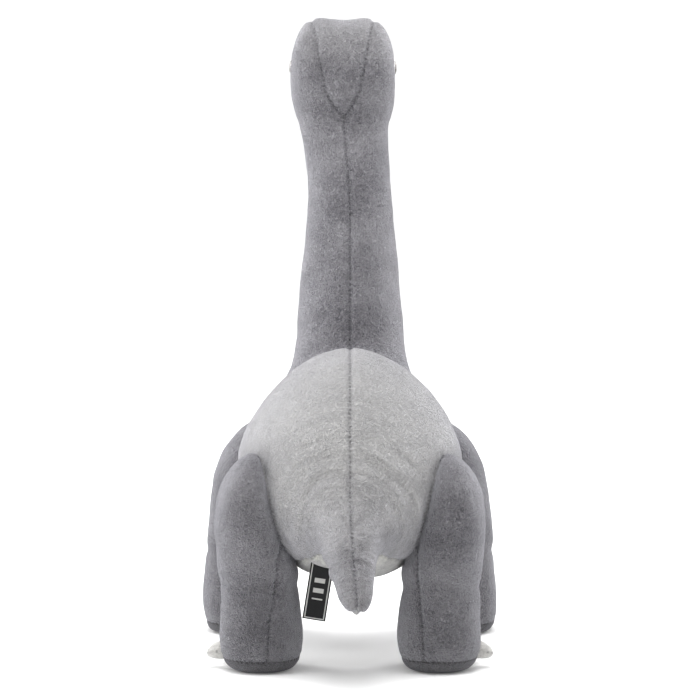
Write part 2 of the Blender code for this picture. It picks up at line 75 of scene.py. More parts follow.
# ---- trunk sections, tail tip to snout: (dorsal y, dorsal z, ventral y, ventral z,
# half width, upper power, lower power, half width of the pale panel)
TRUNK = [
    (0.1722, 0.0520, 0.1708, 0.0476, 0.0026, 2.0, 2.0, 0.0014),
    (0.1710, 0.0568, 0.1668, 0.0464, 0.0064, 2.0, 2.0, 0.0032),
    (0.1662, 0.0635, 0.1587, 0.0484, 0.0094, 2.0, 2.0, 0.0048),
    (0.1527, 0.0765, 0.1422, 0.0552, 0.0120, 2.0, 2.0, 0.0062),
    (0.1360, 0.0935, 0.1215, 0.0638, 0.0160, 2.0, 2.0, 0.0084),
    (0.1205, 0.1080, 0.1070, 0.0680, 0.0225, 1.95, 2.0, 0.0130),
    (0.1095, 0.1215, 0.0975, 0.0665, 0.0320, 1.9, 2.0, 0.0190),
    (0.0985, 0.1380, 0.0885, 0.0625, 0.0420, 1.85, 2.1, 0.0255),
    (0.0840, 0.1550, 0.0780, 0.0575, 0.0520, 1.78, 2.1, 0.0320),
    (0.0630, 0.1715, 0.0620, 0.0530, 0.0608, 1.70, 2.1, 0.0365),
    (0.0370, 0.1830, 0.0380, 0.0508, 0.0668, 1.66, 2.1, 0.0395),
    (0.0110, 0.1876, 0.0100, 0.0505, 0.0680, 1.66, 2.1, 0.0395),
    (-0.0070, 0.1848, -0.0200, 0.0525, 0.0668, 1.70, 2.1, 0.0385),
    (-0.0190, 0.1820, -0.0540, 0.0615, 0.0612, 1.70, 2.1, 0.0345),
    (-0.0266, 0.1890, -0.0830, 0.0770, 0.0500, 1.80, 2.1, 0.0285),
    (-0.0304, 0.2040, -0.1000, 0.0985, 0.0395, 1.90, 2.0, 0.0225),
    (-0.0342, 0.2210, -0.1075, 0.1250, 0.0345, 2.0, 2.0, 0.0185),
    (-0.0385, 0.2380, -0.1075, 0.1520, 0.0326, 2.0, 2.0, 0.0165),
    (-0.0430, 0.2560, -0.1050, 0.1800, 0.0308, 2.1, 2.1, 0.0150),
    (-0.0475, 0.2720, -0.1025, 0.2080, 0.0284, 2.1, 2.1, 0.0140),
    (-0.0515, 0.2870, -0.1020, 0.2380, 0.0264, 2.1, 2.1, 0.0135),
    (-0.0550, 0.3000, -0.1045, 0.2660, 0.0257, 2.1, 2.1, 0.0130),
    (-0.0580, 0.3120, -0.1085, 0.2920, 0.0262, 2.2, 2.1, 0.0130),
    (-0.0598, 0.3250, -0.1130, 0.3090, 0.0278, 2.3, 2.1, 0.0135),
    (-0.0598, 0.3400, -0.1165, 0.3115, 0.0302, 2.7, 2.2, 0.0150),
    (-0.0622, 0.3590, -0.1195, 0.3105, 0.0319, 3.1, 2.3, 0.0175),
    (-0.0700, 0.3760, -0.1235, 0.3095, 0.0324, 3.4, 2.4, 0.0200),
    (-0.0850, 0.3826, -0.1285, 0.3088, 0.0322, 3.4, 2.5, 0.0225),
    (-0.1030, 0.3830, -0.1345, 0.3085, 0.0313, 3.0, 2.5, 0.0240),
    (-0.1180, 0.3768, -0.1415, 0.3088, 0.0294, 2.6, 2.5, 0.0240),
    (-0.1310, 0.3675, -0.1490, 0.3100, 0.0268, 2.4, 2.5, 0.0230),
    (-0.1440, 0.3585, -0.1565, 0.3120, 0.0240, 2.3, 2.4, 0.0210),
    (-0.1560, 0.3510, -0.1635, 0.3150, 0.0207, 2.3, 2.3, 0.0180),
    (-0.1655, 0.3440, -0.1690, 0.3200, 0.0155, 2.2, 2.2, 0.0135),
    (-0.1705, 0.3375, -0.1715, 0.3265, 0.0080, 2.0, 2.0, 0.0070),
    (-0.1722, 0.3330, -0.1722, 0.3310, 0.0015, 2.0, 2.0, 0.0013),
]
ROW_SPACING = 0.0048
SIDE_COLUMNS, BELLY_COLUMNS = 25, 6  # on one side: back seam to belly seam, belly seam to keel
FINE_ROWS, FINE_COLUMNS = 4, 3  # fine rows and columns for each coarse one

# Sections at which the trunk is cut into its tail, torso, neck and head pieces
TAIL_END, TORSO_END, NECK_END = 8, 15.5, 21
NAPE_Z = 0.3235  # the top-of-head panel starts here

# ---- legs: (z, centre x, half width, centre y, half length)
HIND_LEG = [
    (0.0000, 0.0530, 0.0150, 0.0660, 0.0200),
    (0.0014, 0.0530, 0.0188, 0.0660, 0.0242),
    (0.0050, 0.0530, 0.0222, 0.0660, 0.0276),
    (0.0110, 0.0531, 0.0243, 0.0660, 0.0298),
    (0.0200, 0.0533, 0.0250, 0.0660, 0.0302),
    (0.0330, 0.0536, 0.0242, 0.0660, 0.0290),
    (0.0460, 0.0541, 0.0234, 0.0650, 0.0282),
    (0.0600, 0.0552, 0.0240, 0.0635, 0.0300),
    (0.0740, 0.0576, 0.0230, 0.0625, 0.0335),
    (0.0880, 0.0598, 0.0214, 0.0622, 0.0350),
    (0.0980, 0.0611, 0.0192, 0.0622, 0.0350),
    (0.1070, 0.0615, 0.0170, 0.0625, 0.0335),
    (0.1150, 0.0612, 0.0140, 0.0630, 0.0302),
    (0.1215, 0.0601, 0.0106, 0.0638, 0.0252),
    (0.1265, 0.0586, 0.0068, 0.0642, 0.0180),
    (0.1295, 0.0574, 0.0030, 0.0640, 0.0085),
]
FRONT_LEG = [
    (0.0000, 0.0680, 0.0160, -0.0880, 0.0205),
    (0.0014, 0.0682, 0.0198, -0.0880, 0.0242),
    (0.0050, 0.0684, 0.0222, -0.0880, 0.0270),
    (0.0110, 0.0686, 0.0234, -0.0880, 0.0286),
    (0.0200, 0.0686, 0.0238, -0.0880, 0.0288),
    (0.0330, 0.0684, 0.0234, -0.0870, 0.0276),
    (0.0460, 0.0678, 0.0228, -0.0845, 0.0266),
    (0.0600, 0.0670, 0.0226, -0.0810, 0.0275),
    (0.0740, 0.0658, 0.0226, -0.0780, 0.0285),
    (0.0880, 0.0645, 0.0224, -0.0750, 0.0295),
    (0.1020, 0.0627, 0.0218, -0.0730, 0.0290),
    (0.1140, 0.0600, 0.0200, -0.0720, 0.0262),
    (0.1240, 0.0570, 0.0164, -0.0720, 0.0215),
    (0.1310, 0.0545, 0.0112, -0.0720, 0.0150),
    (0.1350, 0.0530, 0.0050, -0.0720, 0.0072),
]
LEG_POWER = 2.35
LEG_ROW_SPACING, LEG_COLUMNS = 0.0045, 32
LEG_FINE = 3
SOLE_SEAM_Z, SOLE_FLAT_Z = 0.0066, 0.004

# ---- sewing
STITCH_PITCH = 0.0034
GROOVE_DEPTH, GROOVE_WIDTH = 0.0013, 0.0017
PULL_DEPTH_TRUNK, PULL_DEPTH_LEG, PULL_WIDTH = 0.0006, 0.0005, 0.006  # fabric drawn in beside a seam
FAR_FROM_SEAM = 0.02

# ---- the uneven shape of a stuffed toy
HEAD_LEAN, TAIL_LEAN = 0.0045, 0.0040  # head over to the left, tail's tip to the right
TRUNK_LUMPS = ((0.0009, 0.034, 3.0), (0.0004, 0.012, 8.0))  # (height, size, seed)
LEG_LUMPS = ((0.0008, 0.024, 0.0), (0.0004, 0.010, 4.0))
FOLD_HEIGHT, FOLD_PITCH, FOLD_REACH, FOLD_SPREAD = 0.0009, 0.0105, 0.034, 0.020
FOLDS_START = 3.0  # section
BROW_PLACE, BROW_HEIGHT, BROW_WIDTH = (0.0185, -0.0900, 0.3825), 0.0032, 0.0095
KNEE_Z, KNEE_DEPTH, KNEE_WIDTH, KNEE_SLOPE, KNEE_ROW = 0.050, 0.0010, 0.0040, 0.105, 6


# ---- small maths

CURVE_STEPS = 24  # between two rows of a table


def smooth_rows(rows, spacing, measure):
    """Rows of numbers on a Catmull-Rom curve through rows, about spacing apart by measure(row, row)."""
    rows = np.array(rows, float)
    padded = np.vstack((2 * rows[0] - rows[1], rows, 2 * rows[-1] - rows[-2]))
    fine, station = [], []
    for i in range(len(rows) - 1):
        a, b, c, d = padded[i:i + 4]
        for t in np.linspace(0, 1, CURVE_STEPS, endpoint=False):
            fine.append(0.5 * (2 * b + (c - a) * t + (2 * a - 5 * b + 4 * c - d) * t ** 2
                               + (3 * b - a - 3 * c + d) * t ** 3))
            station.append(i + t)
    fine.append(rows[-1])
    station.append(len(rows) - 1)
    fine, station = np.array(fine), np.array(station)
    along = np.concatenate(([0], np.cumsum([measure(p, q) for p, q in zip(fine, fine[1:])])))
    wanted = np.linspace(0, along[-1], max(int(round(along[-1] / spacing)), 8) + 1)
    made = np.array([np.interp(wanted, along, column) for column in fine.T]).T
    return made, np.interp(wanted, along, station)


def superellipse(angle, power):
    """Points of a rounded rectangle (power above 2) or an ellipse (power 2), at angles."""
    c, s = np.cos(angle), np.sin(angle)
    return np.sign(c) * np.abs(c) ** (2 / power), np.sign(s) * np.abs(s) ** (2 / power)


def catmull_weights(count, factor, periodic):
    """A matrix that refines count samples by factor with Catmull-Rom curves."""
    last = count if periodic else count - 1
    positions = np.arange(last * factor + (0 if periodic else 1)) / factor
    weights = np.zeros((len(positions), count))
    for row, p in enumerate(positions):
        i = int(min(math.floor(p), last - 1))
        t = p - i
        basis = (-0.5 * t + t ** 2 - 0.5 * t ** 3, 1 - 2.5 * t ** 2 + 1.5 * t ** 3,
                 0.5 * t + 2 * t ** 2 - 1.5 * t ** 3, -0.5 * t ** 2 + 0.5 * t ** 3)
        for k, w in zip(range(i - 1, i + 3), basis):
            weights[row, k % count if periodic else min(max(k, 0), count - 1)] += w
    return weights


def refine(grid, rows, columns):
    """A grid with rows and columns times as many points down and round it."""
    down = catmull_weights(grid.shape[0], rows, False)
    across = catmull_weights(grid.shape[1], columns, True)
    return np.einsum("ij,jkc,lk->ilc", down, grid, across)


def grid_normals(grid):
    """Unit normals of a grid of rows and closed columns, pointing out of the form."""
    along = np.gradient(grid, axis=0)
    around = np.roll(grid, -1, axis=1) - np.roll(grid, 1, axis=1)
    normals = np.cross(around, along)
    normals /= np.maximum(np.linalg.norm(normals, axis=2, keepdims=True), 1e-12)
    centre = grid.mean(axis=1, keepdims=True)
    if (normals * (grid - centre)).sum() < 0:
        normals = -normals
    return normals


def noise_at(points, size, seed=0.0):
    flat = points.reshape(-1, 3) / size + seed
    return np.array([noise.noise(Vector(p)) for p in flat]).reshape(points.shape[:-1])


def lumps_at(points, lumps, seed=0.0):
    """Height of the lumps of the filling under the skin."""
    return sum(height * noise_at(points, size, own + seed) for height, size, own in lumps)


def bump(distance, width):
    """A smooth bell of height 1."""
    return np.exp(-(distance / width) ** 2)


# ---- meshes

def new_object(name, mesh):
    obj = bpy.data.objects.new(name, mesh)
    bpy.context.scene.collection.objects.link(obj)
    return obj


def mesh_from(name, points, faces):
    mesh = bpy.data.meshes.new(name)
    mesh.from_pydata([tuple(p) for p in points], [], [tuple(f) for f in faces])
    mesh.validate()
    mesh.shade_smooth()
    return mesh


def add_values(mesh, name, values):
    """One number on each point of a mesh, for its material."""
    layer = mesh.attributes.new(name, "FLOAT", "POINT")
    layer.data.foreach_set("value", np.array(values, np.float32))


def add_vectors(mesh, name, vectors):
    layer = mesh.attributes.new(name, "FLOAT_VECTOR", "POINT")
    layer.data.foreach_set("vector", np.array(vectors, np.float32).ravel())


def add_rest_place(mesh):
    """Where each point lies at rest, so that the pile moves with the fabric."""
    add_vectors(mesh, "rest_place", [v.co for v in mesh.vertices])


def grid_faces(rows, columns, flip):
    """Quads over rows of closed columns."""
    faces = []
    for i in range(rows - 1):
        for k in range(columns):
            n = (k + 1) % columns
            quad = (i * columns + k, i * columns + n, (i + 1) * columns + n, (i + 1) * columns + k)
            faces.append(quad[::-1] if flip else quad)
    return faces


def sheet_faces(rows, columns):
    """Quads over rows of open columns."""
    return [(i * columns + k, i * columns + k + 1, (i + 1) * columns + k + 1, (i + 1) * columns + k)
            for i in range(rows - 1) for k in range(columns - 1)]


def outward_flip(grid):
    """True if grid_faces has to be flipped for its faces to point out."""
    i = grid.shape[0] // 2
    a, b, c = grid[i, 0], grid[i, 1], grid[i + 1, 0]
    return np.dot(np.cross(b - a, c - a), a - grid[i].mean(axis=0)) < 0


def closed_mesh(name, grid):
    """A closed mesh over the whole grid, with a fan on each end row."""
    rows, columns, _ = grid.shape
    points = np.vstack((grid.reshape(-1, 3), grid[0].mean(axis=0), grid[-1].mean(axis=0)))
    flip = outward_flip(grid)
    faces = grid_faces(rows, columns, flip)
    first, last = rows * columns, rows * columns + 1
    for k in range(columns):
        n = (k + 1) % columns
        start = (n, k, first)
        end = ((rows - 1) * columns + k, (rows - 1) * columns + n, last)
        faces += [start[::-1], end[::-1]] if flip else [start, end]
    return mesh_from(name, points, faces)


# ---- cloth

CLOTH_PRESSURE = 3.0
TRUNK_SWELL = {"frames": 18, "cap": 0.003}
LEG_SWELL = {"frames": 14, "cap": 0.002}


def inflate(grid, pinned, frames, cap):
    """Swell a closed grid as cloth, with the pinned points held and no point moving further than cap."""
    rows, columns, _ = grid.shape
    mesh = closed_mesh("inflating", grid)
    obj = new_object("inflating", mesh)
    group = obj.vertex_groups.new(name="held")
    held = [i * columns + k for i in range(rows) for k in range(columns) if pinned[i, k]]
    group.add(held + [rows * columns, rows * columns + 1], 1.0, "REPLACE")
    cloth = obj.modifiers.new("cloth", "CLOTH")
    settings = cloth.settings
    settings.quality = 6
    settings.mass = 0.2
    settings.vertex_group_mass = "held"
    settings.tension_stiffness = settings.compression_stiffness = 12
    settings.shear_stiffness = 6
    settings.bending_stiffness = 0.3
    settings.use_pressure = True
    settings.uniform_pressure_force = CLOTH_PRESSURE
    settings.effector_weights.gravity = 0
    cloth.collision_settings.use_collision = False
    scene = bpy.context.scene
    for number in range(1, frames + 1):
        scene.frame_set(number)
    evaluated = obj.evaluated_get(bpy.context.evaluated_depsgraph_get())
    points = np.empty(len(mesh.vertices) * 3)
    evaluated.data.vertices.foreach_get("co", points)
    moved = points.reshape(-1, 3)[:rows * columns].reshape(grid.shape)
    bpy.data.objects.remove(obj, do_unlink=True)
    bpy.data.meshes.remove(mesh)
    scene.frame_set(1)
    shift = moved - grid
    far = np.linalg.norm(shift, axis=2, keepdims=True)
    return grid + shift * np.minimum(1.0, cap / np.maximum(far, 1e-9))


# ---- trunk

def section_gap(p, q):
    """Distance between two trunk sections, halfway between their backs and their bellies."""
    return 0.5 * (math.hypot(*(q[:2] - p[:2])) + math.hypot(*(q[2:4] - p[2:4])))


def warp(count, dense):
    """count steps from 0 to 1, closer together at both ends."""
    t = np.arange(count) / count
    return t - dense * np.sin(2 * math.pi * t) / (2 * math.pi)


def trunk_angles(section):
    """Angles of one section's points, from the back seam round by the left side: the belly seams get
    columns of their own, at the pale panel's half width from the keel."""
    half = np.linspace(-math.pi / 2, math.pi / 2, 400)
    x, up = superellipse(half, section[6])
    spine = 0.5 * math.hypot(section[0] - section[2], section[1] - section[3])
    step = np.hypot(np.diff(x * section[4]), np.diff(up * spine))
    seam = np.interp(section[7], np.concatenate(([0], np.cumsum(step))), half)
    side = math.pi / 2 + (seam - math.pi / 2) * warp(SIDE_COLUMNS, 0.55)
    belly = seam + (-math.pi / 2 - seam) * warp(BELLY_COLUMNS, 0.3)
    left = np.concatenate((side, belly))
    right = math.pi - left[:0:-1]
    return np.concatenate((left, [-math.pi / 2], right))


def trunk_grid():
    """The trunk's coarse grid, and the section number of each row."""
    sections, stations = smooth_rows(TRUNK, ROW_SPACING, section_gap)
    grid = []
    for section in sections:
        dorsal, ventral = np.array((0, *section[:2])), np.array((0, *section[2:4]))
        centre, upwards = (dorsal + ventral) / 2, (dorsal - ventral) / 2
        angles = trunk_angles(section)
        x_up, s_up = superellipse(angles, section[5])
        x_low, s_low = superellipse(angles, section[6])
        above = np.sin(angles) > 0
        x, s = np.where(above, x_up, x_low), np.where(above, s_up, s_low)
        grid.append(centre + upwards * s[:, None] + np.outer(x * section[4], (1, 0, 0)))
    return np.array(grid), stations


COLUMNS = 2 * (SIDE_COLUMNS + BELLY_COLUMNS)
BACK_SEAM, LEFT_SEAM, RIGHT_SEAM = 0, SIDE_COLUMNS, COLUMNS - SIDE_COLUMNS
SEAM_STEP = 0.0004  # between the points that stand for a seam


def point_tree(points):
    """Points, for finding the nearest one."""
    tree = KDTree(len(points))
    for i, p in enumerate(points):
        tree.insert(p, i)
    tree.balance()
    return tree


class SeamField:
    """Distance to the nearest seam, and length along it, for any point near the surface."""

    def __init__(self, lines):
        points, lengths = [], []
        for line in lines:
            line = np.array(line)
            along = np.concatenate(([0], np.cumsum(np.linalg.norm(np.diff(line, axis=0), axis=1))))
            wanted = np.arange(0, along[-1], SEAM_STEP)
            points += list(np.array([np.interp(wanted, along, c) for c in line.T]).T)
            lengths += list(wanted)
        self.lengths = lengths
        self.tree = point_tree(points)

    def measure(self, grid):
        flat = grid.reshape(-1, 3)
        distance, along = np.empty(len(flat)), np.empty(len(flat))
        for i, p in enumerate(flat):
            _, k, d = self.tree.find(p)
            distance[i], along[i] = min(d, FAR_FROM_SEAM), self.lengths[k]
        return distance.reshape(grid.shape[:2]), along.reshape(grid.shape[:2])


CROWN_REACH = 0.078  # the head's back ends this far forward


def gusset_half_width(z, y):
    """Half width of the top-of-head panel: by height z up the head's back, then by y along its top."""
    rise = np.interp(z, (0.324, 0.331, 0.340, 0.356, 0.372, 0.384),
                     (0.0, 0.0058, 0.0105, 0.0138, 0.0165, 0.0185))
    along_top = np.interp(-y, (0.075, 0.100, 0.130, 0.160, 0.172), (0.0182, 0.0190, 0.0150, 0.0110, 0.0))
    return np.where(-y < CROWN_REACH, rise, along_top)


def gusset_lines(grid, first_row):
    """Left and right seam of the top-of-head panel, on the grid's own points."""
    left, right = [], []
    for row in grid[first_row:-2]:
        width = gusset_half_width(row[0][2], row[0][1])
        if width <= 0:
            if not left:
                left.append(row[0])
                right.append(row[0])
            continue
        top = row[:SIDE_COLUMNS * FINE_COLUMNS]
        k = int(np.argmax(top[:, 0] > width))
        if k > 0:
            t = (width - top[k - 1, 0]) / (top[k, 0] - top[k - 1, 0])
            point = top[k - 1] + (top[k] - top[k - 1]) * t
            left.append(point)
            right.append(point * (-1, 1, 1))
    return left, right


def lean(points):
    """How far the head and upper neck sit over to the left, and the tail's tip to the right."""
    t = np.clip((points[..., 2] - 0.262) / 0.080, 0, 1)
    tip = np.clip((points[..., 1] - 0.115) / 0.055, 0, 1)
    return HEAD_LEAN * t * t * (3 - 2 * t) - TAIL_LEAN * tip ** 1.5


def tail_reach(points):
    """Distance from the middle of the folds of the rump, which are longer than they are wide."""
    return np.linalg.norm((points - TAIL_ARCH) * (1.0, 0.7, 1.0), axis=-1)


def make_trunk():
    """The trunk's fine grid with its normals, seam distances, cut rows and section numbers."""
    coarse, stations = trunk_grid()
    held = np.zeros(coarse.shape[:2], bool)
    held[:, [BACK_SEAM, LEFT_SEAM, RIGHT_SEAM]] = True
    held[:2] = held[-3:] = True
    coarse = inflate(coarse, held, **TRUNK_SWELL)
    fine = refine(coarse, FINE_ROWS, FINE_COLUMNS)
    fine_stations = np.interp(np.arange(len(fine)) / FINE_ROWS, np.arange(len(stations)), stations)
    nape = int(np.argmax((fine[:, 0, 2] > NAPE_Z) & (fine_stations > NECK_END)))
    lines = [fine[:nape + 1, 0]]
    lines += [fine[:, LEFT_SEAM * FINE_COLUMNS], fine[:, RIGHT_SEAM * FINE_COLUMNS]]
    lines += list(gusset_lines(fine, nape))
    distance, along = SeamField(lines).measure(fine)
    normals = grid_normals(fine)
    lift = lumps_at(fine, TRUNK_LUMPS)
    # folds round the root of the tail
    reach = tail_reach(fine)
    phase = reach / FOLD_PITCH + 0.55 * noise_at(fine, 0.030, 21.0)
    strength = np.clip(0.5 + 1.4 * noise_at(fine, 0.022, 5.0), 0, 1)
    folds = FOLD_HEIGHT * np.sin(2 * math.pi * phase) * strength * bump(reach - FOLD_REACH, FOLD_SPREAD)
    lift += folds * (fine_stations > FOLDS_START)[:, None]
    # brow pads on the head
    for side in (-1, 1):
        brow = (fine - np.array(BROW_PLACE) * (side, 1, 1)) * (1.0, 0.6, 1.0)
        lift += BROW_HEIGHT * bump(np.linalg.norm(brow, axis=2), BROW_WIDTH)
    lift -= GROOVE_DEPTH * bump(distance, GROOVE_WIDTH) + PULL_DEPTH_TRUNK * bump(distance, PULL_WIDTH)
    fine = fine + normals * lift[..., None]
    fine[..., 0] += lean(fine)
    cuts = [int(np.argmax(fine_stations >= s)) for s in (TAIL_END, TORSO_END, NECK_END)]
    return fine, grid_normals(fine), distance, along, cuts, fine_stations


RING_RADIUS = 0.006  # turns the angle about the tail into a distance


def painted_shade_share(points, name):
    """How much painted shade darkens the colour: low on the legs, and at the tail's tip."""
    if "front" in name:
        return np.interp(points[:, 2], (0.02, 0.10, 0.14), (1.0, 1.0, 0.4))
    if "hind" in name:
        return np.interp(points[:, 2], (0.02, 0.10, 0.14), (1.0, 0.55, 0.1))
    return np.interp(points[:, 1], (0.135, 0.165), (0.0, 0.6))


def ring_place(points):
    """Points in rings about the root of the tail: (distance from it, angle about it)."""
    away = points - TAIL_ARCH
    angle = np.arctan2(away[:, 0], away[:, 2])
    return np.column_stack((tail_reach(points), RING_RADIUS * np.cos(angle), RING_RADIUS * np.sin(angle)))


def combed_nap(points, name):
    """How far the nap is combed in rings: about the root of the tail only."""
    if "hind" in name or "front" in name:
        return np.zeros(len(points))
    behind = np.clip((points[:, 1] - 0.055) / 0.02, 0, 1)
    return behind * np.clip((0.078 - tail_reach(points)) / 0.03, 0, 1)


def cut_piece(name, grid, normals, distance, along, rows, keep, cap=None, painted_highlight=None):
    """One panel: the faces of grid between rows for which keep(row, column) holds, with a fan over the
    row cap if there is one. The last argument gives each point's share of painted highlight."""
    columns = grid.shape[1]
    flip = outward_flip(grid)
    index, faces = {}, []

    def vertex(i, k):
        return index.setdefault((i, k % columns), len(index))

    for i in range(*rows):
        for k in range(columns):
            if keep(i, k):
                quad = (vertex(i, k), vertex(i, k + 1), vertex(i + 1, k + 1), vertex(i + 1, k))
                faces.append(quad[::-1] if flip else quad)
    used = tuple(np.array(list(index)).T)
    points, out = grid[used], normals[used]
    seam, run = distance[used], along[used]
    # each point's share of painted highlight
    highlight_share = np.zeros(len(points)) if painted_highlight is None else painted_highlight[used]
    if cap is not None:
        inner, row = (1, 0) if cap == 0 else (cap - 1, cap - 1)
        tip = len(points)
        for k in range(columns):
            if keep(row, k):
                corner = (vertex(cap, k + 1), vertex(cap, k), tip)
                faces.append(corner[::-1] if flip == (cap == 0) else corner)
        end = grid[cap].mean(axis=0)
        outwards = end - grid[inner].mean(axis=0)
        points = np.vstack((points, end))
        out = np.vstack((out, outwards / np.linalg.norm(outwards)))
        seam, run, highlight_share = np.append(seam, FAR_FROM_SEAM), np.append(run, 0.0), np.append(highlight_share, highlight_share[-1])
    mesh = mesh_from(name, points, faces)
    mesh.normals_split_custom_set_from_vertices([tuple(n) for n in out])
    for key, values in (("seam_distance", seam), ("seam_along", run), ("painted_highlight", highlight_share),
                        ("painted_shade", painted_shade_share(points, name)), ("combed", combed_nap(points, name))):
        add_values(mesh, key, values)
    add_rest_place(mesh)
    add_vectors(mesh, "ring_place", ring_place(points))
    return new_object(name, mesh)


# ---- procedural materials

class Nodes:
    """Short names for building one material's node tree."""

    def __init__(self, name):
        self.material = bpy.data.materials.new(name)
        self.material.use_nodes = True
        self.tree = self.material.node_tree
        self.tree.nodes.clear()
        self.shader = self.tree.nodes.new("ShaderNodeBsdfPrincipled")
        output = self.tree.nodes.new("ShaderNodeOutputMaterial")
        self.tree.links.new(self.shader.outputs["BSDF"], output.inputs["Surface"])

    def put(self, socket, value):
        """Link a socket to a node's output, or set it to a constant."""
        if isinstance(value, bpy.types.NodeSocket):
            self.tree.links.new(value, socket)
        else:
            socket.default_value = value

    def shade(self, **values):
        for key, value in values.items():
            self.put(self.shader.inputs[key.replace("_", " ")], value)

    def attribute(self, name, output="Fac"):
        node = self.tree.nodes.new("ShaderNodeAttribute")
        node.attribute_name = name
        return node.outputs[output]

    def math(self, operation, a, b=0.0, c=0.0):
        node = self.tree.nodes.new("ShaderNodeMath")
        node.operation = operation
        for socket, value in zip(node.inputs, (a, b, c)):
            self.put(socket, value)
        return node.outputs[0]

    def scaled(self, vector, scale):
        node = self.tree.nodes.new("ShaderNodeMapping")
        self.put(node.inputs["Vector"], vector)
        node.inputs["Scale"].default_value = scale
        return node.outputs[0]

    def noise(self, vector, scale, detail=2.0, roughness=0.5, distortion=0.0):
        node = self.tree.nodes.new("ShaderNodeTexNoise")
        for key, value in (("Vector", vector), ("Scale", scale), ("Detail", detail),
                           ("Roughness", roughness), ("Distortion", distortion)):
            self.put(node.inputs[key], value)
        return node.outputs["Fac"]

    def place(self):
        return self.attribute("rest_place", "Vector")

    def ranged(self, value, low, high, to_low, to_high, smooth=False):
        node = self.tree.nodes.new("ShaderNodeMapRange")
        node.interpolation_type = "SMOOTHSTEP" if smooth else "LINEAR"
        for key, v in (("Value", value), ("From Min", low), ("From Max", high),
                       ("To Min", to_low), ("To Max", to_high)):
            self.put(node.inputs[key], v)
        return node.outputs[0]

    def mix(self, factor, a, b, blend_type="MIX"):
        node = self.tree.nodes.new("ShaderNodeMix")
        node.data_type, node.blend_type = "RGBA", blend_type
        self.put(node.inputs["Factor"], factor)
        for key, v in (("A", a), ("B", b)):
            socket = next(s for s in node.inputs if s.name == key and s.type == "RGBA")
            self.put(socket, v if isinstance(v, bpy.types.NodeSocket) else (*v, 1.0))
        return next(s for s in node.outputs if s.type == "RGBA")

    def bump(self, height, distance, strength=1.0, normal=None):
        node = self.tree.nodes.new("ShaderNodeBump")
        self.put(node.inputs["Height"], height)
        node.inputs["Distance"].default_value = distance
        node.inputs["Strength"].default_value = strength
        if normal is not None:
            self.put(node.inputs["Normal"], normal)
        return node.outputs[0]


# Layers of the pile: scale of the noise, and share in the tone
PATCH_SCALE, MOTTLE_SCALE, CURL_SCALE, FIBRE_SCALE, COMBED_SCALE = 30, 230, 560, 1900, 420
PATCH_SHARE, MOTTLE_SHARE, CURL_SHARE, FIBRE_SHARE, COMBED_SHARE = 0.34, 0.16, 0.85, 0.30, 0.46
TONE_LOW, TONE_HIGH = 0.66, 0.99  # the summed layers reach from one to the other
PAINTED_HIGHLIGHT = (1.88, 1.91, 1.76)  # painted highlight: how much lighter the colour is painted where the top light falls, against the rest
PAINTED_HIGHLIGHT_LOW, PAINTED_HIGHLIGHT_HIGH = 0.34, 0.76  # its tones lie closer together
# colour factor of the painted shade low on the legs and at the tail's tip
PAINTED_SHADE_FACTOR = 0.72
# width of the painted shadow beside each seam, and radius of a stitch pit
SEAM_SHADOW, PIT_RADIUS = 0.0024, 0.0012
SHEEN_TINT = (0.93, 0.93, 1.0, 1.0)


def times(colour, factors):
    return tuple(c * f for c, f in zip(colour, factors))


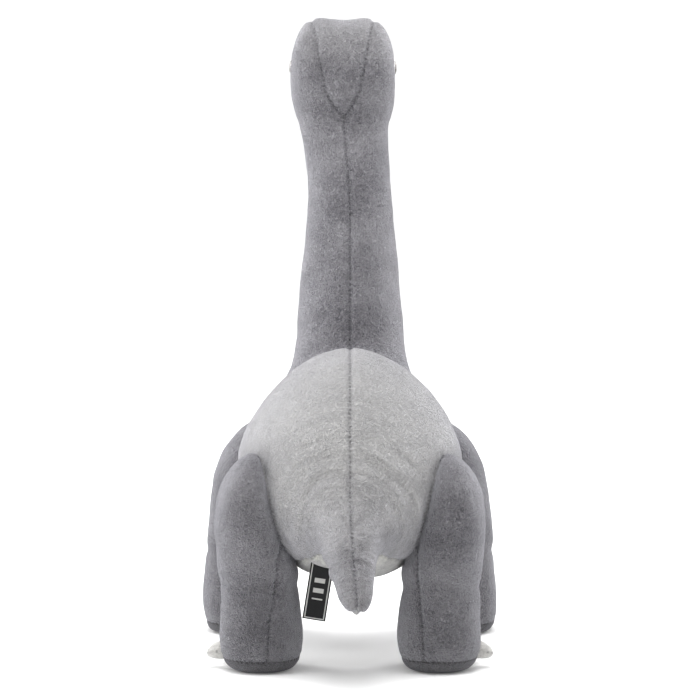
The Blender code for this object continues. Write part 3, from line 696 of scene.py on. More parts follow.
def plush_material(name, light, dark, sheen=1.0, seam_shade=0.30, depth=1.0):
    """Short-pile plush: clumped nap, fine fibres, uneven patches, and stitches sunk into the seams, with
    painted shade along the seams, in the stitch pits, low on the legs and at the tail's tip, and painted
    highlight where the top light falls.
    """
    n = Nodes(name)
    place = n.place()
    patches = n.noise(n.scaled(place, (0.8, 0.8, 1.4)), PATCH_SCALE, 2, 0.5)
    mottle = n.noise(place, MOTTLE_SCALE, 2, 0.6, 0.4)
    curls = n.noise(place, CURL_SCALE, 2, 0.6, 2.2)
    fibres = n.noise(place, FIBRE_SCALE, 2, 0.7, 1.0)
    tone = n.math("MULTIPLY", patches, PATCH_SHARE)
    for layer, share in ((mottle, MOTTLE_SHARE), (curls, CURL_SHARE), (fibres, FIBRE_SHARE)):
        tone = n.math("MULTIPLY_ADD", layer, share, tone)
    combed = n.noise(n.attribute("ring_place", "Vector"), COMBED_SCALE, 2, 0.6, 0.6)
    combed = n.math("MULTIPLY", n.math("SUBTRACT", combed, 0.5), n.attribute("combed"))
    tone = n.math("MULTIPLY_ADD", combed, COMBED_SHARE, tone)
    tone = n.ranged(tone, TONE_LOW, TONE_HIGH, 0.0, 1.0)
    colour = n.mix(tone, dark, light)
    # painted highlight: a lighter copy of the colour, mixed in by each point's share
    highlight_colour = n.ranged(tone, 0.0, 1.0, PAINTED_HIGHLIGHT_LOW, PAINTED_HIGHLIGHT_HIGH)
    highlight_colour = n.mix(highlight_colour, times(dark, PAINTED_HIGHLIGHT), times(light, PAINTED_HIGHLIGHT))
    colour = n.mix(n.attribute("painted_highlight"), colour, highlight_colour)
    # painted shade: darker low on the legs and at the tail's tip
    colour = n.mix(n.attribute("painted_shade"), colour, n.mix(1.0, colour, (PAINTED_SHADE_FACTOR,) * 3, "MULTIPLY"))
    # painted shade: darker along each seam groove, and darker still in each stitch pit
    seam = n.attribute("seam_distance")
    along = n.attribute("seam_along")
    uneven = n.ranged(mottle, 0.35, 0.65, 0.35, 1.0)
    painted_seam_shade = n.math("MULTIPLY", n.ranged(seam, 0.0, SEAM_SHADOW, 1.0, 0.0, True), uneven)
    step = n.math("DIVIDE", n.math("MODULO", along, STITCH_PITCH), STITCH_PITCH)
    from_middle = n.math("ABSOLUTE", n.math("SUBTRACT", step, 0.5))
    pit = n.math("MULTIPLY", n.ranged(from_middle, 0.14, 0.30, 1.0, 0.0, True),
                 n.ranged(seam, PIT_RADIUS / 3, PIT_RADIUS, 1.0, 0.0, True))
    pit = n.math("MULTIPLY", pit, uneven)
    colour = n.mix(n.math("MULTIPLY", painted_seam_shade, seam_shade), colour, times(dark, (0.45,) * 3))
    colour = n.mix(n.math("MULTIPLY", pit, 0.40), colour, times(dark, (0.16,) * 3))
    rough = n.ranged(curls, 0.3, 0.7, 0.82, 0.97)
    normal = n.bump(n.math("ADD", mottle, n.math("MULTIPLY", combed, 1.2)), 0.0014 * depth, 0.6)
    normal = n.bump(curls, 0.0022 * depth, 1.0, normal)
    normal = n.bump(fibres, 0.0004 * depth, 0.8, normal)
    normal = n.bump(n.math("SUBTRACT", 1.0, pit), 0.0008, 0.8, normal)
    n.shade(Base_Color=colour, Roughness=rough, Normal=normal)
    n.shade(Sheen_Weight=sheen, Sheen_Roughness=0.28, Specular_IOR_Level=0.18)
    n.shader.inputs["Sheen Tint"].default_value = SHEEN_TINT
    return n.material


def filling_material():
    n = Nodes("fibre_filling")
    place = n.place()
    tufts = n.noise(place, 160, 4, 0.6, 1.2)
    strands = n.noise(n.scaled(place, (1, 0.3, 1)), 1500, 3, 0.7, 1.5)
    colour = n.mix(n.math("MULTIPLY", tufts, strands), (0.62, 0.62, 0.60), (0.88, 0.88, 0.86))
    normal = n.bump(tufts, 0.0030, 0.8)
    normal = n.bump(strands, 0.0006, 0.8, normal)
    n.shade(Base_Color=colour, Roughness=n.ranged(strands, 0.3, 0.7, 0.75, 0.95), Normal=normal)
    n.shade(Sheen_Weight=0.4, Specular_IOR_Level=0.25)
    return n.material


def eye_material():
    """A moulded eye: black pupil in a dark brown iris, under a clear dome."""
    n = Nodes("eye_plastic")
    radius = n.attribute("rim")
    flecks = n.noise(n.place(), 2200, 3, 0.6)
    iris = n.mix(flecks, (0.016, 0.007, 0.003), (0.050, 0.021, 0.008))
    colour = n.mix(n.ranged(radius, 0.50, 0.56, 0.0, 1.0, True), (0.004, 0.004, 0.005), iris)
    colour = n.mix(n.ranged(radius, 0.80, 0.90, 0.0, 1.0, True), colour, (0.006, 0.006, 0.007))
    scuffs = n.noise(n.place(), 900, 4, 0.7)
    n.shade(Base_Color=colour, Roughness=n.ranged(scuffs, 0.3, 0.8, 0.10, 0.26))
    n.shade(Normal=n.bump(scuffs, 0.00003, 0.4), Specular_IOR_Level=0.35)
    n.shade(Coat_Weight=0.3, Coat_Roughness=0.06)
    return n.material


def washer_material():
    n = Nodes("washer_plastic")
    grain = n.noise(n.place(), 1400, 3, 0.6)
    colour = n.mix(grain, (0.70, 0.70, 0.68), (0.82, 0.82, 0.80))
    n.shade(Base_Color=colour, Roughness=n.ranged(grain, 0.3, 0.7, 0.35, 0.55),
            Normal=n.bump(grain, 0.00006, 0.5))
    return n.material


def thread_material():
    """Satin-stitch thread, with its strands side by side, each painted lighter on its crest and darker
    between strands as painted shade.
    """
    n = Nodes("embroidery_thread")
    across = n.math("SINE", n.math("MULTIPLY", n.attribute("thread"), 2 * math.pi))
    wear = n.noise(n.place(), 1800, 3, 0.6)
    # painted shade: each strand lighter on its crest and darker in the groove between strands
    colour = n.mix(n.ranged(across, -1, 1, 0.0, 1.0), (0.010, 0.010, 0.012), (0.050, 0.050, 0.056))
    colour = n.mix(n.math("MULTIPLY", wear, 0.25), colour, (0.08, 0.08, 0.085))
    normal = n.bump(across, 0.00018, 0.9)
    n.shade(Base_Color=colour, Roughness=n.ranged(wear, 0.3, 0.7, 0.38, 0.6), Normal=normal)
    n.shade(Sheen_Weight=0.2)
    return n.material


LABEL_WIDTH, LABEL_LENGTH, LABEL_FOLD = 0.0138, 0.036, 0.0004  # length folded, and half its thickness
BAR_PITCH, BARS_FROM, BARS_TO = 0.0060, 0.0125, 0.0270
WARP_PITCH, WEFT_PITCH = 0.00032, 0.00038


def label_material():
    """Black woven ribbon with a light border and plain woven bars; it carries no words or mark."""
    n = Nodes("woven_label")
    u, v = n.attribute("label_u"), n.attribute("label_v")
    edge = n.math("MINIMUM", n.math("MINIMUM", u, n.math("SUBTRACT", LABEL_WIDTH, u)), v)
    border = n.math("MULTIPLY", n.ranged(edge, 0.0008, 0.0011, 0.0, 1.0, True),
                    n.ranged(edge, 0.0014, 0.0017, 1.0, 0.0, True))
    from_middle = n.math("ABSOLUTE", n.math("SUBTRACT", u, LABEL_WIDTH / 2))
    bars = n.math("MULTIPLY", n.ranged(n.math("PINGPONG", v, BAR_PITCH / 2), 0.0012, 0.0015, 1.0, 0.0, True),
                  n.ranged(from_middle, 0.0030, 0.0033, 1.0, 0.0, True))
    window = n.math("MULTIPLY", n.math("GREATER_THAN", v, BARS_FROM), n.math("LESS_THAN", v, BARS_TO))
    lengthwise = n.math("SINE", n.math("MULTIPLY", u, 2 * math.pi / WARP_PITCH))
    crosswise = n.math("SINE", n.math("MULTIPLY", v, 2 * math.pi / WEFT_PITCH))
    weave = n.math("MULTIPLY", lengthwise, crosswise)
    ink = n.math("MAXIMUM", border, n.math("MULTIPLY", bars, window))
    cloth = n.mix(n.ranged(weave, -1, 1, 0.0, 1.0), (0.004, 0.004, 0.005), (0.014, 0.014, 0.016))
    pale = n.mix(n.ranged(weave, -1, 1, 0.0, 1.0), (0.45, 0.45, 0.44), (0.66, 0.66, 0.64))
    colour = n.mix(ink, cloth, pale)
    n.shade(Base_Color=colour, Roughness=n.ranged(weave, -1, 1, 0.42, 0.60),
            Normal=n.bump(weave, 0.00008, 0.8))
    n.shade(Sheen_Weight=0.1, Specular_IOR_Level=0.25)
    return n.material


# painted light: the floor's glow near the toy and far from it
FLOOR_GLOW, FAR_GLOW = 0.08, 0.24
GLOW_START, GLOW_FULL = 0.25, 1.1  # distance from the middle of the floor


def floor_material():
    """A matt pale floor that glows as painted light, weakly near the toy and more strongly away from it,
    standing in for a lit studio sweep.
    """
    n = Nodes("pale_sweep")
    coordinates = n.tree.nodes.new("ShaderNodeTexCoord").outputs["Object"]
    grain = n.noise(coordinates, 60, 3, 0.5)
    colour = n.mix(grain, (0.90, 0.90, 0.90), (0.92, 0.92, 0.92))
    n.shade(Base_Color=colour, Roughness=n.ranged(grain, 0.3, 0.7, 0.75, 0.9),
            Normal=n.bump(grain, 0.0002, 0.2))
    away = n.tree.nodes.new("ShaderNodeVectorMath")
    away.operation = "LENGTH"
    n.put(away.inputs[0], coordinates)
    # painted light: the glow rises away from the toy
    glow = n.ranged(away.outputs["Value"], GLOW_START, GLOW_FULL, FLOOR_GLOW, FAR_GLOW, True)
    n.shade(Specular_IOR_Level=0.2, Emission_Strength=glow)
    n.shader.inputs["Emission Color"].default_value = (1.0, 1.0, 1.0, 1.0)
    return n.material


GREY = plush_material("plush_grey", (0.380, 0.370, 0.395), (0.082, 0.078, 0.090))
PALE = plush_material("plush_pale", (0.58, 0.57, 0.57), (0.27, 0.265, 0.27), sheen=0.55, seam_shade=0.35)
# the soles are painted darker than the grey plush: painted shade under the feet
SOLE = plush_material("sole_plush_painted_shade", (0.240, 0.234, 0.246), (0.090, 0.087, 0.095), sheen=0.45)
CLAW = plush_material("claw_felt", (0.80, 0.79, 0.76), (0.52, 0.51, 0.49), sheen=0.3, depth=0.5)
FILLING = filling_material()
EYE, WASHER, THREAD, LABEL = eye_material(), washer_material(), thread_material(), label_material()


# ---- seams between the legs and the torso

CREASE_WIDTH, CREASE_DEPTH, CREASE_LOWEST = 0.0034, 0.0009, 0.060
CREASE_SEARCH = 0.02
HIP_RADIUS = 0.04  # turns the angle about a leg's joint into a seam length


def surface_tree(grid):
    """A grid's faces, for finding the nearest point on them."""
    rows, columns, _ = grid.shape
    return BVHTree.FromPolygons([tuple(p) for p in grid.reshape(-1, 3)], grid_faces(rows, columns, False))


def gap_to(grid, other):
    """Distance of each point of grid from the other surface, or FAR_FROM_SEAM well outside its box."""
    tree = surface_tree(other)
    low = other.reshape(-1, 3).min(axis=0) - CREASE_SEARCH
    high = other.reshape(-1, 3).max(axis=0) + CREASE_SEARCH
    flat = grid.reshape(-1, 3)
    gap = np.full(len(flat), FAR_FROM_SEAM)
    for i in np.flatnonzero(((flat > low) & (flat < high)).all(axis=1)):
        gap[i] = min(tree.find_nearest(flat[i])[3], FAR_FROM_SEAM)
    return gap.reshape(grid.shape[:2])


def sew_to_torso(trunk_parts, leg_parts, pivot):
    """Draw the trunk and one leg in where they meet, and mark the seam there."""
    torso, torso_normals, torso_seam, torso_run = trunk_parts
    leg, leg_normals, leg_seam, leg_run = leg_parts
    to_leg, to_torso = gap_to(torso, leg), gap_to(leg, torso)
    for grid, normals, seam, run, gap in ((torso, torso_normals, torso_seam, torso_run, to_leg),
                                          (leg, leg_normals, leg_seam, leg_run, to_torso)):
        gap = np.where(grid[..., 2] > CREASE_LOWEST, gap, FAR_FROM_SEAM)
        turn = np.arctan2(grid[..., 2] - pivot[2], grid[..., 1] - pivot[1]) * HIP_RADIUS + 1.0
        run[:] = np.where(gap < seam, turn, run)
        seam[:] = np.minimum(seam, gap)
        grid -= normals * (CREASE_DEPTH * bump(gap, CREASE_WIDTH))[..., None]


# ---- bends: two bodies and two points for each; dress bakes pieces given one in place

NOD_DIRECTION = np.array((0.0, -0.6, 0.8))
NECK_BEND = ("torso", "neck", NECK_BASE + NECK_DIRECTION * 0.010, NECK_BASE + NECK_DIRECTION * 0.062)
HEAD_BEND = ("neck", "head", NECK_TOP - NOD_DIRECTION * 0.042, NECK_TOP - NOD_DIRECTION * 0.008)
TAIL_BEND = ("torso", "tail", TAIL_ROOT + TAIL_DIRECTION * 0.016, TAIL_ROOT + TAIL_DIRECTION * 0.046)
LEG_BEND_TOP, LEG_BEND_LOW = (0, 0, 0.125), (0, 0, 0.075)


def dress(obj, material, hold, node=None):
    """Give a piece its material, attach it to the body named by hold or, for a bend, bake it in place, and
    hide the CAD node it stands for.
    """
    obj.data.materials.clear()
    obj.data.materials.append(material)
    if isinstance(hold, str):
        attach(obj, hold)
    else:
        tuple(hold[2])
        tuple(hold[3])
        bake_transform(obj)
    if node:
        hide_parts(node)
    return obj


# ---- legs

def leg_grid(table, side, turn):
    """A leg's coarse grid, foot to top; columns start at the rear seam and go round the outer side.
    turn, in degrees, puts the seam of one foot further inwards."""
    rows, _ = smooth_rows(table, LEG_ROW_SPACING, lambda p, q: math.hypot(q[0] - p[0], q[2] - p[2]))
    grid = []
    half = LEG_COLUMNS // 2
    for z, cx, hw, cy, hl in rows:
        rear = math.radians(np.interp(z, (0.0, 0.030, 0.066, 0.082, 0.14),
                                      (93 + turn, 98 + turn, 118 + turn, 150, 160)))
        outer = rear - 2 * rear * warp(half, 0.3)
        inner = -rear - (2 * math.pi - 2 * rear) * warp(half, 0.3)
        x, y = superellipse(np.concatenate((outer, inner)), LEG_POWER)
        grid.append(np.column_stack((side * (cx + hw * x), cy + hl * y, np.full(LEG_COLUMNS, z))))
    return np.array(grid)


def make_leg(table, side, turn, seed):
    """A leg's fine grid with its normals, seam distances, the sole seam's row and the front column."""
    coarse = leg_grid(table, side, turn)
    held = np.zeros(coarse.shape[:2], bool)
    held[:, [0, LEG_COLUMNS // 2]] = True
    held[:3] = held[-2:] = True
    coarse = inflate(coarse, held, **LEG_SWELL)
    fine = refine(coarse, LEG_FINE, LEG_FINE)
    front = LEG_COLUMNS // 2 * LEG_FINE
    sole_row = int(np.argmax(fine[:, 0, 2] >= SOLE_SEAM_Z))
    loop = np.vstack((fine[sole_row], fine[sole_row, :1]))
    distance, along = SeamField([fine[sole_row:, 0], fine[sole_row:, front], loop]).measure(fine)
    normals = grid_normals(fine)
    lift = lumps_at(fine, LEG_LUMPS, seed)
    z = fine[..., 2]
    # the crease under the thigh, which rises towards the back of the leg
    slope = KNEE_SLOPE * (fine[..., 1] - table[KNEE_ROW][3])
    lift -= KNEE_DEPTH * bump(z - KNEE_Z - slope + 0.004 * noise_at(fine, 0.03, seed + 9), KNEE_WIDTH)
    # the groove is shallow at the sole, and the flat underside stays flat
    groove = GROOVE_DEPTH * bump(distance, GROOVE_WIDTH) + PULL_DEPTH_LEG * bump(distance, PULL_WIDTH)
    lift -= groove * np.interp(z, (SOLE_SEAM_Z, SOLE_SEAM_Z + 0.008), (0.3, 1.0))
    fine = fine + normals * (lift * np.clip(z / SOLE_FLAT_Z, 0, 1))[..., None]
    return fine, grid_normals(fine), distance, along, sole_row, front


LEGS = {  # (table, side, turn of the seam, seed)
    "hind_left": (HIND_LEG, 1, 2, 11.0), "hind_right": (HIND_LEG, -1, 14, 23.0),
    "front_left": (FRONT_LEG, 1, 0, 37.0), "front_right": (FRONT_LEG, -1, 6, 53.0),
}

# ---- trunk pieces

trunk, trunk_normals, trunk_seam, trunk_run, (tail_row, neck_row, head_row), trunk_stations = make_trunk()

# Painted highlight: the rump and back are painted lighter where they face up and back towards the top light,
# less on the flanks, and the crown is painted lighter too
BACK_AND_UP = np.array((0.0, 0.6, 0.8))
FLANK_SHARE = 0.45
trunk_painted_highlight = (np.interp(trunk_stations, (3.0, 6.5, 12.4, 13.6), (0.30, 1.0, 1.0, 0.0))[:, None]
                 * np.interp(trunk[..., 1], (-0.055, 0.000, 0.050), (0.10, 0.60, 1.0)))
trunk_painted_highlight *= np.interp(trunk_normals @ BACK_AND_UP, (-0.10, 0.45), (FLANK_SHARE, 1.0))
trunk_painted_highlight = np.maximum(trunk_painted_highlight, np.interp(trunk[..., 2], (0.350, 0.380), (0.0, 0.35)))

leg_forms = {name: make_leg(*how) for name, how in LEGS.items()}
for name, form in leg_forms.items():
    hinge = next(j for key, j in JOINTS.items() if key.startswith(name))["pos_m"]
    sew_to_torso((trunk, trunk_normals, trunk_seam, trunk_run), form[:4], hinge)
    form[1][:] = grid_normals(form[0])
trunk_normals = grid_normals(trunk)
LAST = len(trunk) - 1
LEFT_LINE, RIGHT_LINE = LEFT_SEAM * FINE_COLUMNS, RIGHT_SEAM * FINE_COLUMNS


def on_left(i, k):
    return k < LEFT_LINE


def on_right(i, k):
    return k >= RIGHT_LINE


def underneath(i, k):
    return LEFT_LINE <= k < RIGHT_LINE


def in_gusset(i, k):
    if underneath(i, k):
        return False
    p = trunk[i, k % trunk.shape[1]]
    return p[2] > NAPE_Z and abs(p[0]) < gusset_half_width(p[2], p[1])


def trunk_piece(name, rows, keep, material, hold, cap=None):
    obj = cut_piece(name, trunk, trunk_normals, trunk_seam, trunk_run, rows, keep, cap, trunk_painted_highlight)
    return dress(obj, material, hold, name.replace("skin_", ""))


FILLING_STEP = 3  # every third row and column of the skin's grid
FILLING_LUMP = 0.0010


def filling_piece(name, grid, normals, rows, hold, depth, size):
    """The fibre filling inside rows of a form: the skin's own shape, drawn in by depth and lumpy."""
    part = grid[rows[0]:rows[1] + 1:FILLING_STEP, ::FILLING_STEP]
    out = normals[rows[0]:rows[1] + 1:FILLING_STEP, ::FILLING_STEP]
    lumps = FILLING_LUMP * noise_at(part, size, 40.0)
    obj = new_object(name, closed_mesh(name, part - out * (depth + lumps)[..., None]))
    add_rest_place(obj.data)
    return dress(obj, FILLING, hold, name.replace("fibre_", ""))


for side, keep in (("left", on_left), ("right", on_right)):
    trunk_piece(f"skin_tail_panel_{side}", (0, tail_row), keep, GREY, TAIL_BEND, 0)
    trunk_piece(f"skin_torso_panel_{side}", (tail_row, neck_row), keep, GREY, NECK_BEND)
    trunk_piece(f"skin_neck_panel_{side}", (neck_row, head_row), keep, GREY, NECK_BEND)
    trunk_piece(f"skin_head_panel_{side}", (head_row, LAST),
                lambda i, k, keep=keep: keep(i, k) and not in_gusset(i, k),
                GREY, HEAD_BEND, LAST)
trunk_piece("skin_head_gusset", (head_row, LAST), in_gusset, GREY, HEAD_BEND)
trunk_piece("skin_tail_underside_panel", (0, tail_row), underneath, PALE, TAIL_BEND, 0)
trunk_piece("skin_belly_panel", (tail_row, neck_row), underneath, PALE, NECK_BEND)
trunk_piece("skin_throat_panel", (neck_row, head_row), underneath, PALE, NECK_BEND)
trunk_piece("skin_chin_panel", (head_row, LAST), underneath, PALE, HEAD_BEND, LAST)

filling_piece("fibre_tail_filling", trunk, trunk_normals, (9, tail_row), TAIL_BEND, 0.0028, 0.02)
filling_piece("fibre_torso_filling", trunk, trunk_normals, (tail_row, neck_row), NECK_BEND, 0.0035, 0.03)
filling_piece("fibre_neck_filling", trunk, trunk_normals, (neck_row, head_row), NECK_BEND, 0.0035, 0.02)
filling_piece("fibre_head_filling", trunk, trunk_normals, (head_row, LAST - 9), HEAD_BEND, 0.0035, 0.02)


# ---- leg pieces

for name, (fine, normals, distance, along, sole_row, front) in leg_forms.items():
    top = len(fine) - 1
    bend = ("torso", f"{name}_leg", LEG_BEND_TOP, LEG_BEND_LOW)
    form = (fine, normals, distance, along)
    for part, keep in (("outer", lambda i, k, f=front: k < f), ("inner", lambda i, k, f=front: k >= f)):
        obj = cut_piece(f"skin_{name}_{part}_panel", *form, (sole_row, top), keep, top)
        dress(obj, GREY, bend, f"{name}_{part}_panel")
    obj = cut_piece(f"skin_{name}_sole", *form, (0, sole_row), lambda i, k: True, 0)
    dress(obj, SOLE, f"{name}_leg", f"{name}_sole")
    filling_piece(f"fibre_{name}_filling", fine, normals, (4, top - 3), bend, 0.0030, 0.018)


# ---- claws, eyes, nostrils and washers

def lathe(name, profile, centre, axis, steps=40):
    """A round mesh: profile is (radius, height) pairs turned about axis through centre."""
    axis = Vector(axis).normalized()
    side = axis.orthogonal().normalized()
    other = axis.cross(side)
    points = []
    for r, h in profile:
        for k in range(steps):
            a = 2 * math.pi * k / steps
            points.append(Vector(centre) + axis * h + (side * math.cos(a) + other * math.sin(a)) * r)
    mesh = mesh_from(name, points, grid_faces(len(profile), steps, False))
    radii = np.repeat([r for r, _ in profile], steps)
    add_values(mesh, "rim", radii / radii.max())
    add_rest_place(mesh)
    return new_object(name, mesh)


CLAW_RINGS, CLAW_STEPS = 22, 32
CLAW_LENGTH, CLAW_WIDTH, CLAW_HEIGHT = 0.0150, 0.0066, 0.0056
CLAW_SINK = 0.0085  # of its root inside the foot
CLAW_TUCK = 0.0040  # how much shorter a claw at the side of a foot is
CLAW_LOW, CLAW_DROOP = 0.0006, 0.0026
BLUNT_FROM, BLUNTNESS = 0.25, 2.3


def make_claw(name, low, high, foot, seed):
    """One stuffed felt claw, blunt at its tip, sewn to the foot along its root."""
    centre = (np.array(low) + np.array(high)) / 2
    outwards = centre - np.array((*foot, centre[2]))
    outwards /= np.linalg.norm(outwards)
    across = np.array((-outwards[1], outwards[0], 0.0))
    start = np.linalg.norm(centre[:2] - np.array(foot)) - CLAW_SINK - CLAW_TUCK * abs(outwards[0])
    points, seam, run = [], [], []
    for i in range(CLAW_RINGS + 1):
        t = i / CLAW_RINGS
        blunt = max(0.0, (t - BLUNT_FROM) / (1 - BLUNT_FROM)) ** BLUNTNESS
        size = math.sqrt(max(1 - blunt, 0)) * (0.93 + 0.07 * math.sin(math.pi * t))
        for k in range(CLAW_STEPS):
            a = 2 * math.pi * k / CLAW_STEPS
            lump = 1 + 0.05 * noise.noise(Vector((3 * t, 2 * math.cos(a), 2 * math.sin(a) + seed)))
            z = centre[2] - CLAW_LOW + math.sin(a) * CLAW_HEIGHT * size * lump - CLAW_DROOP * t * t
            points.append(np.array((*foot, z)) + outwards * (start + CLAW_LENGTH * t)
                          + across * math.cos(a) * CLAW_WIDTH * size * lump)
            seam.append(abs(math.sin(a)) * 0.006 + 0.0002)
            run.append(0.0165 * t)
    mesh = mesh_from(name, points, grid_faces(CLAW_RINGS + 1, CLAW_STEPS, False))
    bm = bmesh.new()
    bm.from_mesh(mesh)
    bmesh.ops.recalc_face_normals(bm, faces=bm.faces)
    bm.to_mesh(mesh)
    bm.free()
    add_values(mesh, "seam_distance", seam)
    add_values(mesh, "seam_along", run)
    add_rest_place(mesh)
    return new_object(name, mesh)


FEET = {"hind_left": (0.0550, 0.0660), "hind_right": (-0.0550, 0.0660),
        "front_left": (0.0695, -0.0880), "front_right": (-0.0695, -0.0880)}
for name, foot in FEET.items():
    for number in (1, 2, 3):
        node = f"{name}_claw_{number}"
        obj = make_claw(f"felt_{node}", *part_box(node), foot, number + 10 * foot[0])
        dress(obj, CLAW, f"{name}_leg", node)

head_surface = surface_tree(trunk[head_row:])
head_points = trunk[head_row:].reshape(-1, 3)
head_normals = trunk_normals[head_row:].reshape(-1, 3)
nearest_head = point_tree(head_points)

EYE_RISE, EYE_SINK, STEM_RADIUS = 0.0032, 0.0016, 0.0018
EYE_TILT = (-0.16, 0.12)  # forwards and upwards


def cad_box(node):
    """Low and high corner of a CAD node's box."""
    return (np.array(v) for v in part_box(node))


def make_eye(side, sign):
    """A domed eye on the head's surface, with its stem inside."""
    low, high = cad_box(f"eye_{side}")
    radius, middle = (high[2] - low[2]) / 2, (low + high) / 2
    axis = Vector((sign, *EYE_TILT)).normalized()
    spot, _, _, _ = head_surface.ray_cast((sign * 0.1, middle[1], middle[2]), (-sign, 0, 0))
    dome = [(radius * math.sin(a), EYE_RISE * math.cos(a)) for a in np.linspace(0.02, math.pi / 2, 18)]
    stem = [(STEM_RADIUS, -0.0014), (0.0016, -0.0070), (0.0002, -0.0072)]
    profile = dome + [(radius * 1.02, -0.0006), (radius * 0.9, -0.0012)] + stem
    obj = lathe(f"moulded_eye_{side}", profile, np.array(spot) - np.array(axis) * EYE_SINK, axis, 48)
    dress(obj, EYE, "head", f"eye_{side}")


def make_washer(side, sign):
    """The toothed washer that locks an eye's stem inside the head."""
    low, high = cad_box(f"eye_washer_{side}")
    size = (high[2] - low[2]) / 2
    ring = [(STEM_RADIUS, -0.0006), (STEM_RADIUS, 0.0006), (0.0030, 0.0008), (size * 0.7, 0.0004),
            (size * 0.85, 0.0007), (size, 0.0002), (size, -0.0005), (size * 0.8, -0.0007),
            (STEM_RADIUS, -0.0006)]
    obj = lathe(f"star_washer_{side}", ring, (low + high) / 2, (sign, 0, 0))
    dress(obj, WASHER, "head", f"eye_washer_{side}")


NOSTRIL_STEPS, NOSTRIL_STRANDS = 13, 5
NOSTRIL_HALF_LENGTH, NOSTRIL_HALF_HEIGHT, NOSTRIL_SLANT, NOSTRIL_RISE = 0.0030, 0.0018, 0.0006, 0.0010


def make_nostril(side, sign):
    """An oval pad of satin stitch, raised from the snout."""
    low, high = cad_box(f"nostril_{side}")
    points, thread = [], []
    for i in range(NOSTRIL_STEPS):
        for k in range(NOSTRIL_STEPS):
            u, v = 2 * i / (NOSTRIL_STEPS - 1) - 1, 2 * k / (NOSTRIL_STEPS - 1) - 1
            du, dv = u * math.sqrt(1 - v * v / 2), v * math.sqrt(1 - u * u / 2)
            guess = (low + high) / 2 + np.array((sign * NOSTRIL_SLANT * du, NOSTRIL_HALF_LENGTH * du,
                                                 NOSTRIL_HALF_HEIGHT * dv + NOSTRIL_SLANT * du))
            p, index, _ = nearest_head.find(guess)
            out = head_normals[index]
            spot = guess - out * np.dot(guess - np.array(p), out)
            points.append(spot + out * (NOSTRIL_RISE * (1 - max(abs(u), abs(v)) ** 3) - 0.0002))
            thread.append((u + 1) * NOSTRIL_STRANDS)
    faces = sheet_faces(NOSTRIL_STEPS, NOSTRIL_STEPS)
    name = f"stitched_nostril_{side}"
    mesh = mesh_from(name, points, faces if sign < 0 else [f[::-1] for f in faces])
    add_values(mesh, "thread", thread)
    add_rest_place(mesh)
    dress(new_object(name, mesh), THREAD, "head", f"nostril_{side}")


for side, sign in (("left", 1), ("right", -1)):
    make_eye(side, sign)
    make_washer(side, sign)
    make_nostril(side, sign)


# ---- label

LABEL_DROP = np.array((-0.0018, 0.0, -0.0060))
LABEL_TOP = np.array(JOINTS["label_flap"]["pos_m"]) + LABEL_DROP
LABEL_ACROSS = np.array(JOINTS["label_flap"]["axis"])
LABEL_DOWN = np.cross(LABEL_ACROSS, (0.0, 1.0, 0.0))
if LABEL_DOWN[2] > 0:
    LABEL_DOWN = -LABEL_DOWN
LABEL_STEPS, LABEL_COLUMNS, LABEL_SEWN_IN = 37, 15, 0.0006
LABEL_CURL, LABEL_BOW = 0.0012, 0.0007


def make_label():
    """A ribbon folded in two at its foot, its cut ends together in the seam above."""
    run = [LABEL_LENGTH * t - LABEL_SEWN_IN for t in np.linspace(0, 1, LABEL_STEPS)]
    fold = [(LABEL_LENGTH - LABEL_SEWN_IN + LABEL_FOLD * math.sin(a), LABEL_FOLD * math.cos(a))
            for a in np.linspace(0, math.pi, 7)[1:-1]]
    path = [(down, LABEL_FOLD) for down in run] + fold + [(down, -LABEL_FOLD) for down in run[::-1]]
    points, across, along = [], [], []
    for down, out in path:
        curl = LABEL_CURL * math.sin(down / LABEL_LENGTH * 2.6)
        for k in range(LABEL_COLUMNS):
            u = k / (LABEL_COLUMNS - 1)
            bow = LABEL_BOW * math.cos((u - 0.5) * 2.4) * (down / LABEL_LENGTH)
            points.append(LABEL_TOP + LABEL_DOWN * down + LABEL_ACROSS * (u - 0.5) * LABEL_WIDTH
                          + np.array((0.0, out + curl + bow, 0.0)))
            across.append(u * LABEL_WIDTH)
            along.append(LABEL_LENGTH - down)
    mesh = mesh_from("ribbon_label", points, sheet_faces(len(path), LABEL_COLUMNS))
    add_values(mesh, "label_u", across)
    add_values(mesh, "label_v", along)
    add_rest_place(mesh)
    return new_object("ribbon_label", mesh)


ribbon = dress(make_label(), LABEL, "label", "rear_label")


# ---- stage, light and camera

FLOOR_HALF = 30.0
WORLD_BACK, WORLD_FRONT = 1.35, 0.36  # strength of the light from behind and from in front
AREAS = (  # (name, place, aim height, size, power)
    ("top", (0.0, 0.05, 1.6), 0.15, (1.1, 0.9), 26),
    ("side", (1.5, 0.3, 0.6), 0.15, (0.9, 0.9), 7),
    ("rim_left", (1.1, -1.0, 0.6), 0.2, (0.7, 1.0), 14),
    ("rim_right", (-1.1, -1.0, 0.6), 0.2, (0.7, 1.0), 10),
)


def make_floor():
    points = [(x, y, 0.0) for y in (-FLOOR_HALF, FLOOR_HALF) for x in (-FLOOR_HALF, FLOOR_HALF)]
    floor = new_object("floor", mesh_from("floor", points, [(0, 1, 3, 2)]))
    floor.data.materials.append(floor_material())


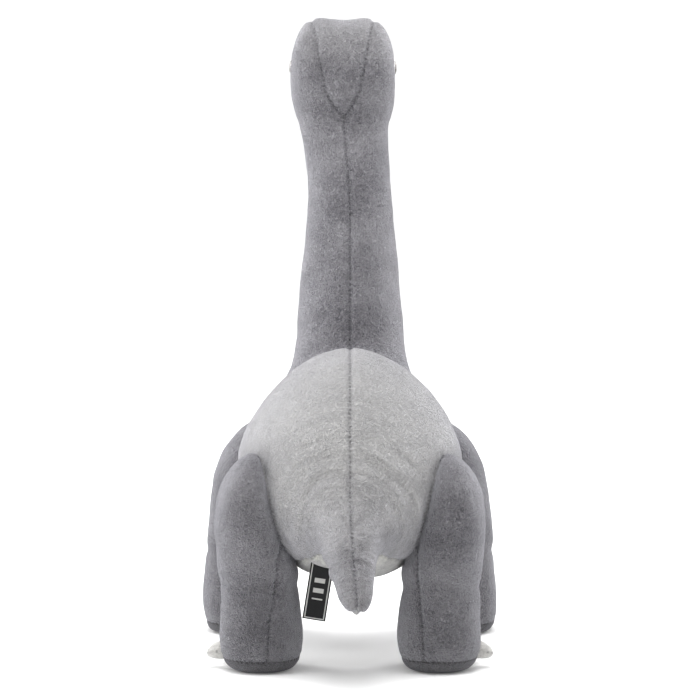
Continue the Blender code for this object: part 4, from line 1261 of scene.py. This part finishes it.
def add_area(name, place, aim_z, size, power):
    light = bpy.data.lights.new(name, "AREA")
    light.shape, light.size, light.size_y = "RECTANGLE", size[0], size[1]
    light.energy = power
    obj = bpy.data.objects.new(name, light)
    bpy.context.scene.collection.objects.link(obj)
    obj.location = place
    obj.rotation_euler = (Vector((0, 0, aim_z)) - Vector(place)).to_track_quat("-Z", "Y").to_euler()


def light_scene():
    """A soft white world, stronger on the far side of the toy, and four area lights."""
    world = bpy.data.worlds.new("studio")
    bpy.context.scene.world = world
    world.use_nodes = True
    tree = world.node_tree
    background = tree.nodes["Background"]
    where = tree.nodes.new("ShaderNodeTexCoord")
    split = tree.nodes.new("ShaderNodeSeparateXYZ")
    spread = tree.nodes.new("ShaderNodeMapRange")
    tree.links.new(where.outputs["Generated"], split.inputs[0])
    tree.links.new(split.outputs["Y"], spread.inputs["Value"])
    for key, value in (("From Min", -0.7), ("From Max", 0.7),
                       ("To Min", WORLD_BACK), ("To Max", WORLD_FRONT)):
        spread.inputs[key].default_value = value
    tree.links.new(spread.outputs[0], background.inputs["Strength"])
    background.inputs["Color"].default_value = (1.0, 1.0, 1.0, 1.0)
    for area in AREAS:
        add_area(*area)


CAMERA_ELEVATION = math.radians(5.3)
CAMERA_DISTANCE = 3.0
CAMERA_AIM = Vector((0.0, 0.0, 0.1852))
VIEW_WIDTH = 0.4264
SENSOR = 36.0


def add_camera():
    """A long lens behind the toy, a little above it."""
    data = bpy.data.cameras.new("camera")
    data.sensor_width, data.lens = SENSOR, SENSOR * CAMERA_DISTANCE / VIEW_WIDTH
    data.clip_start, data.clip_end = 0.05, 20.0
    camera = bpy.data.objects.new("camera", data)
    bpy.context.scene.collection.objects.link(camera)
    away = Vector((0, math.cos(CAMERA_ELEVATION), math.sin(CAMERA_ELEVATION)))
    camera.location = CAMERA_AIM + away * CAMERA_DISTANCE
    camera.rotation_euler = (-away).to_track_quat("-Z", "Y").to_euler()
    bpy.context.scene.camera = camera


make_floor()
light_scene()
add_camera()
bpy.context.scene.view_settings.view_transform = "Standard"
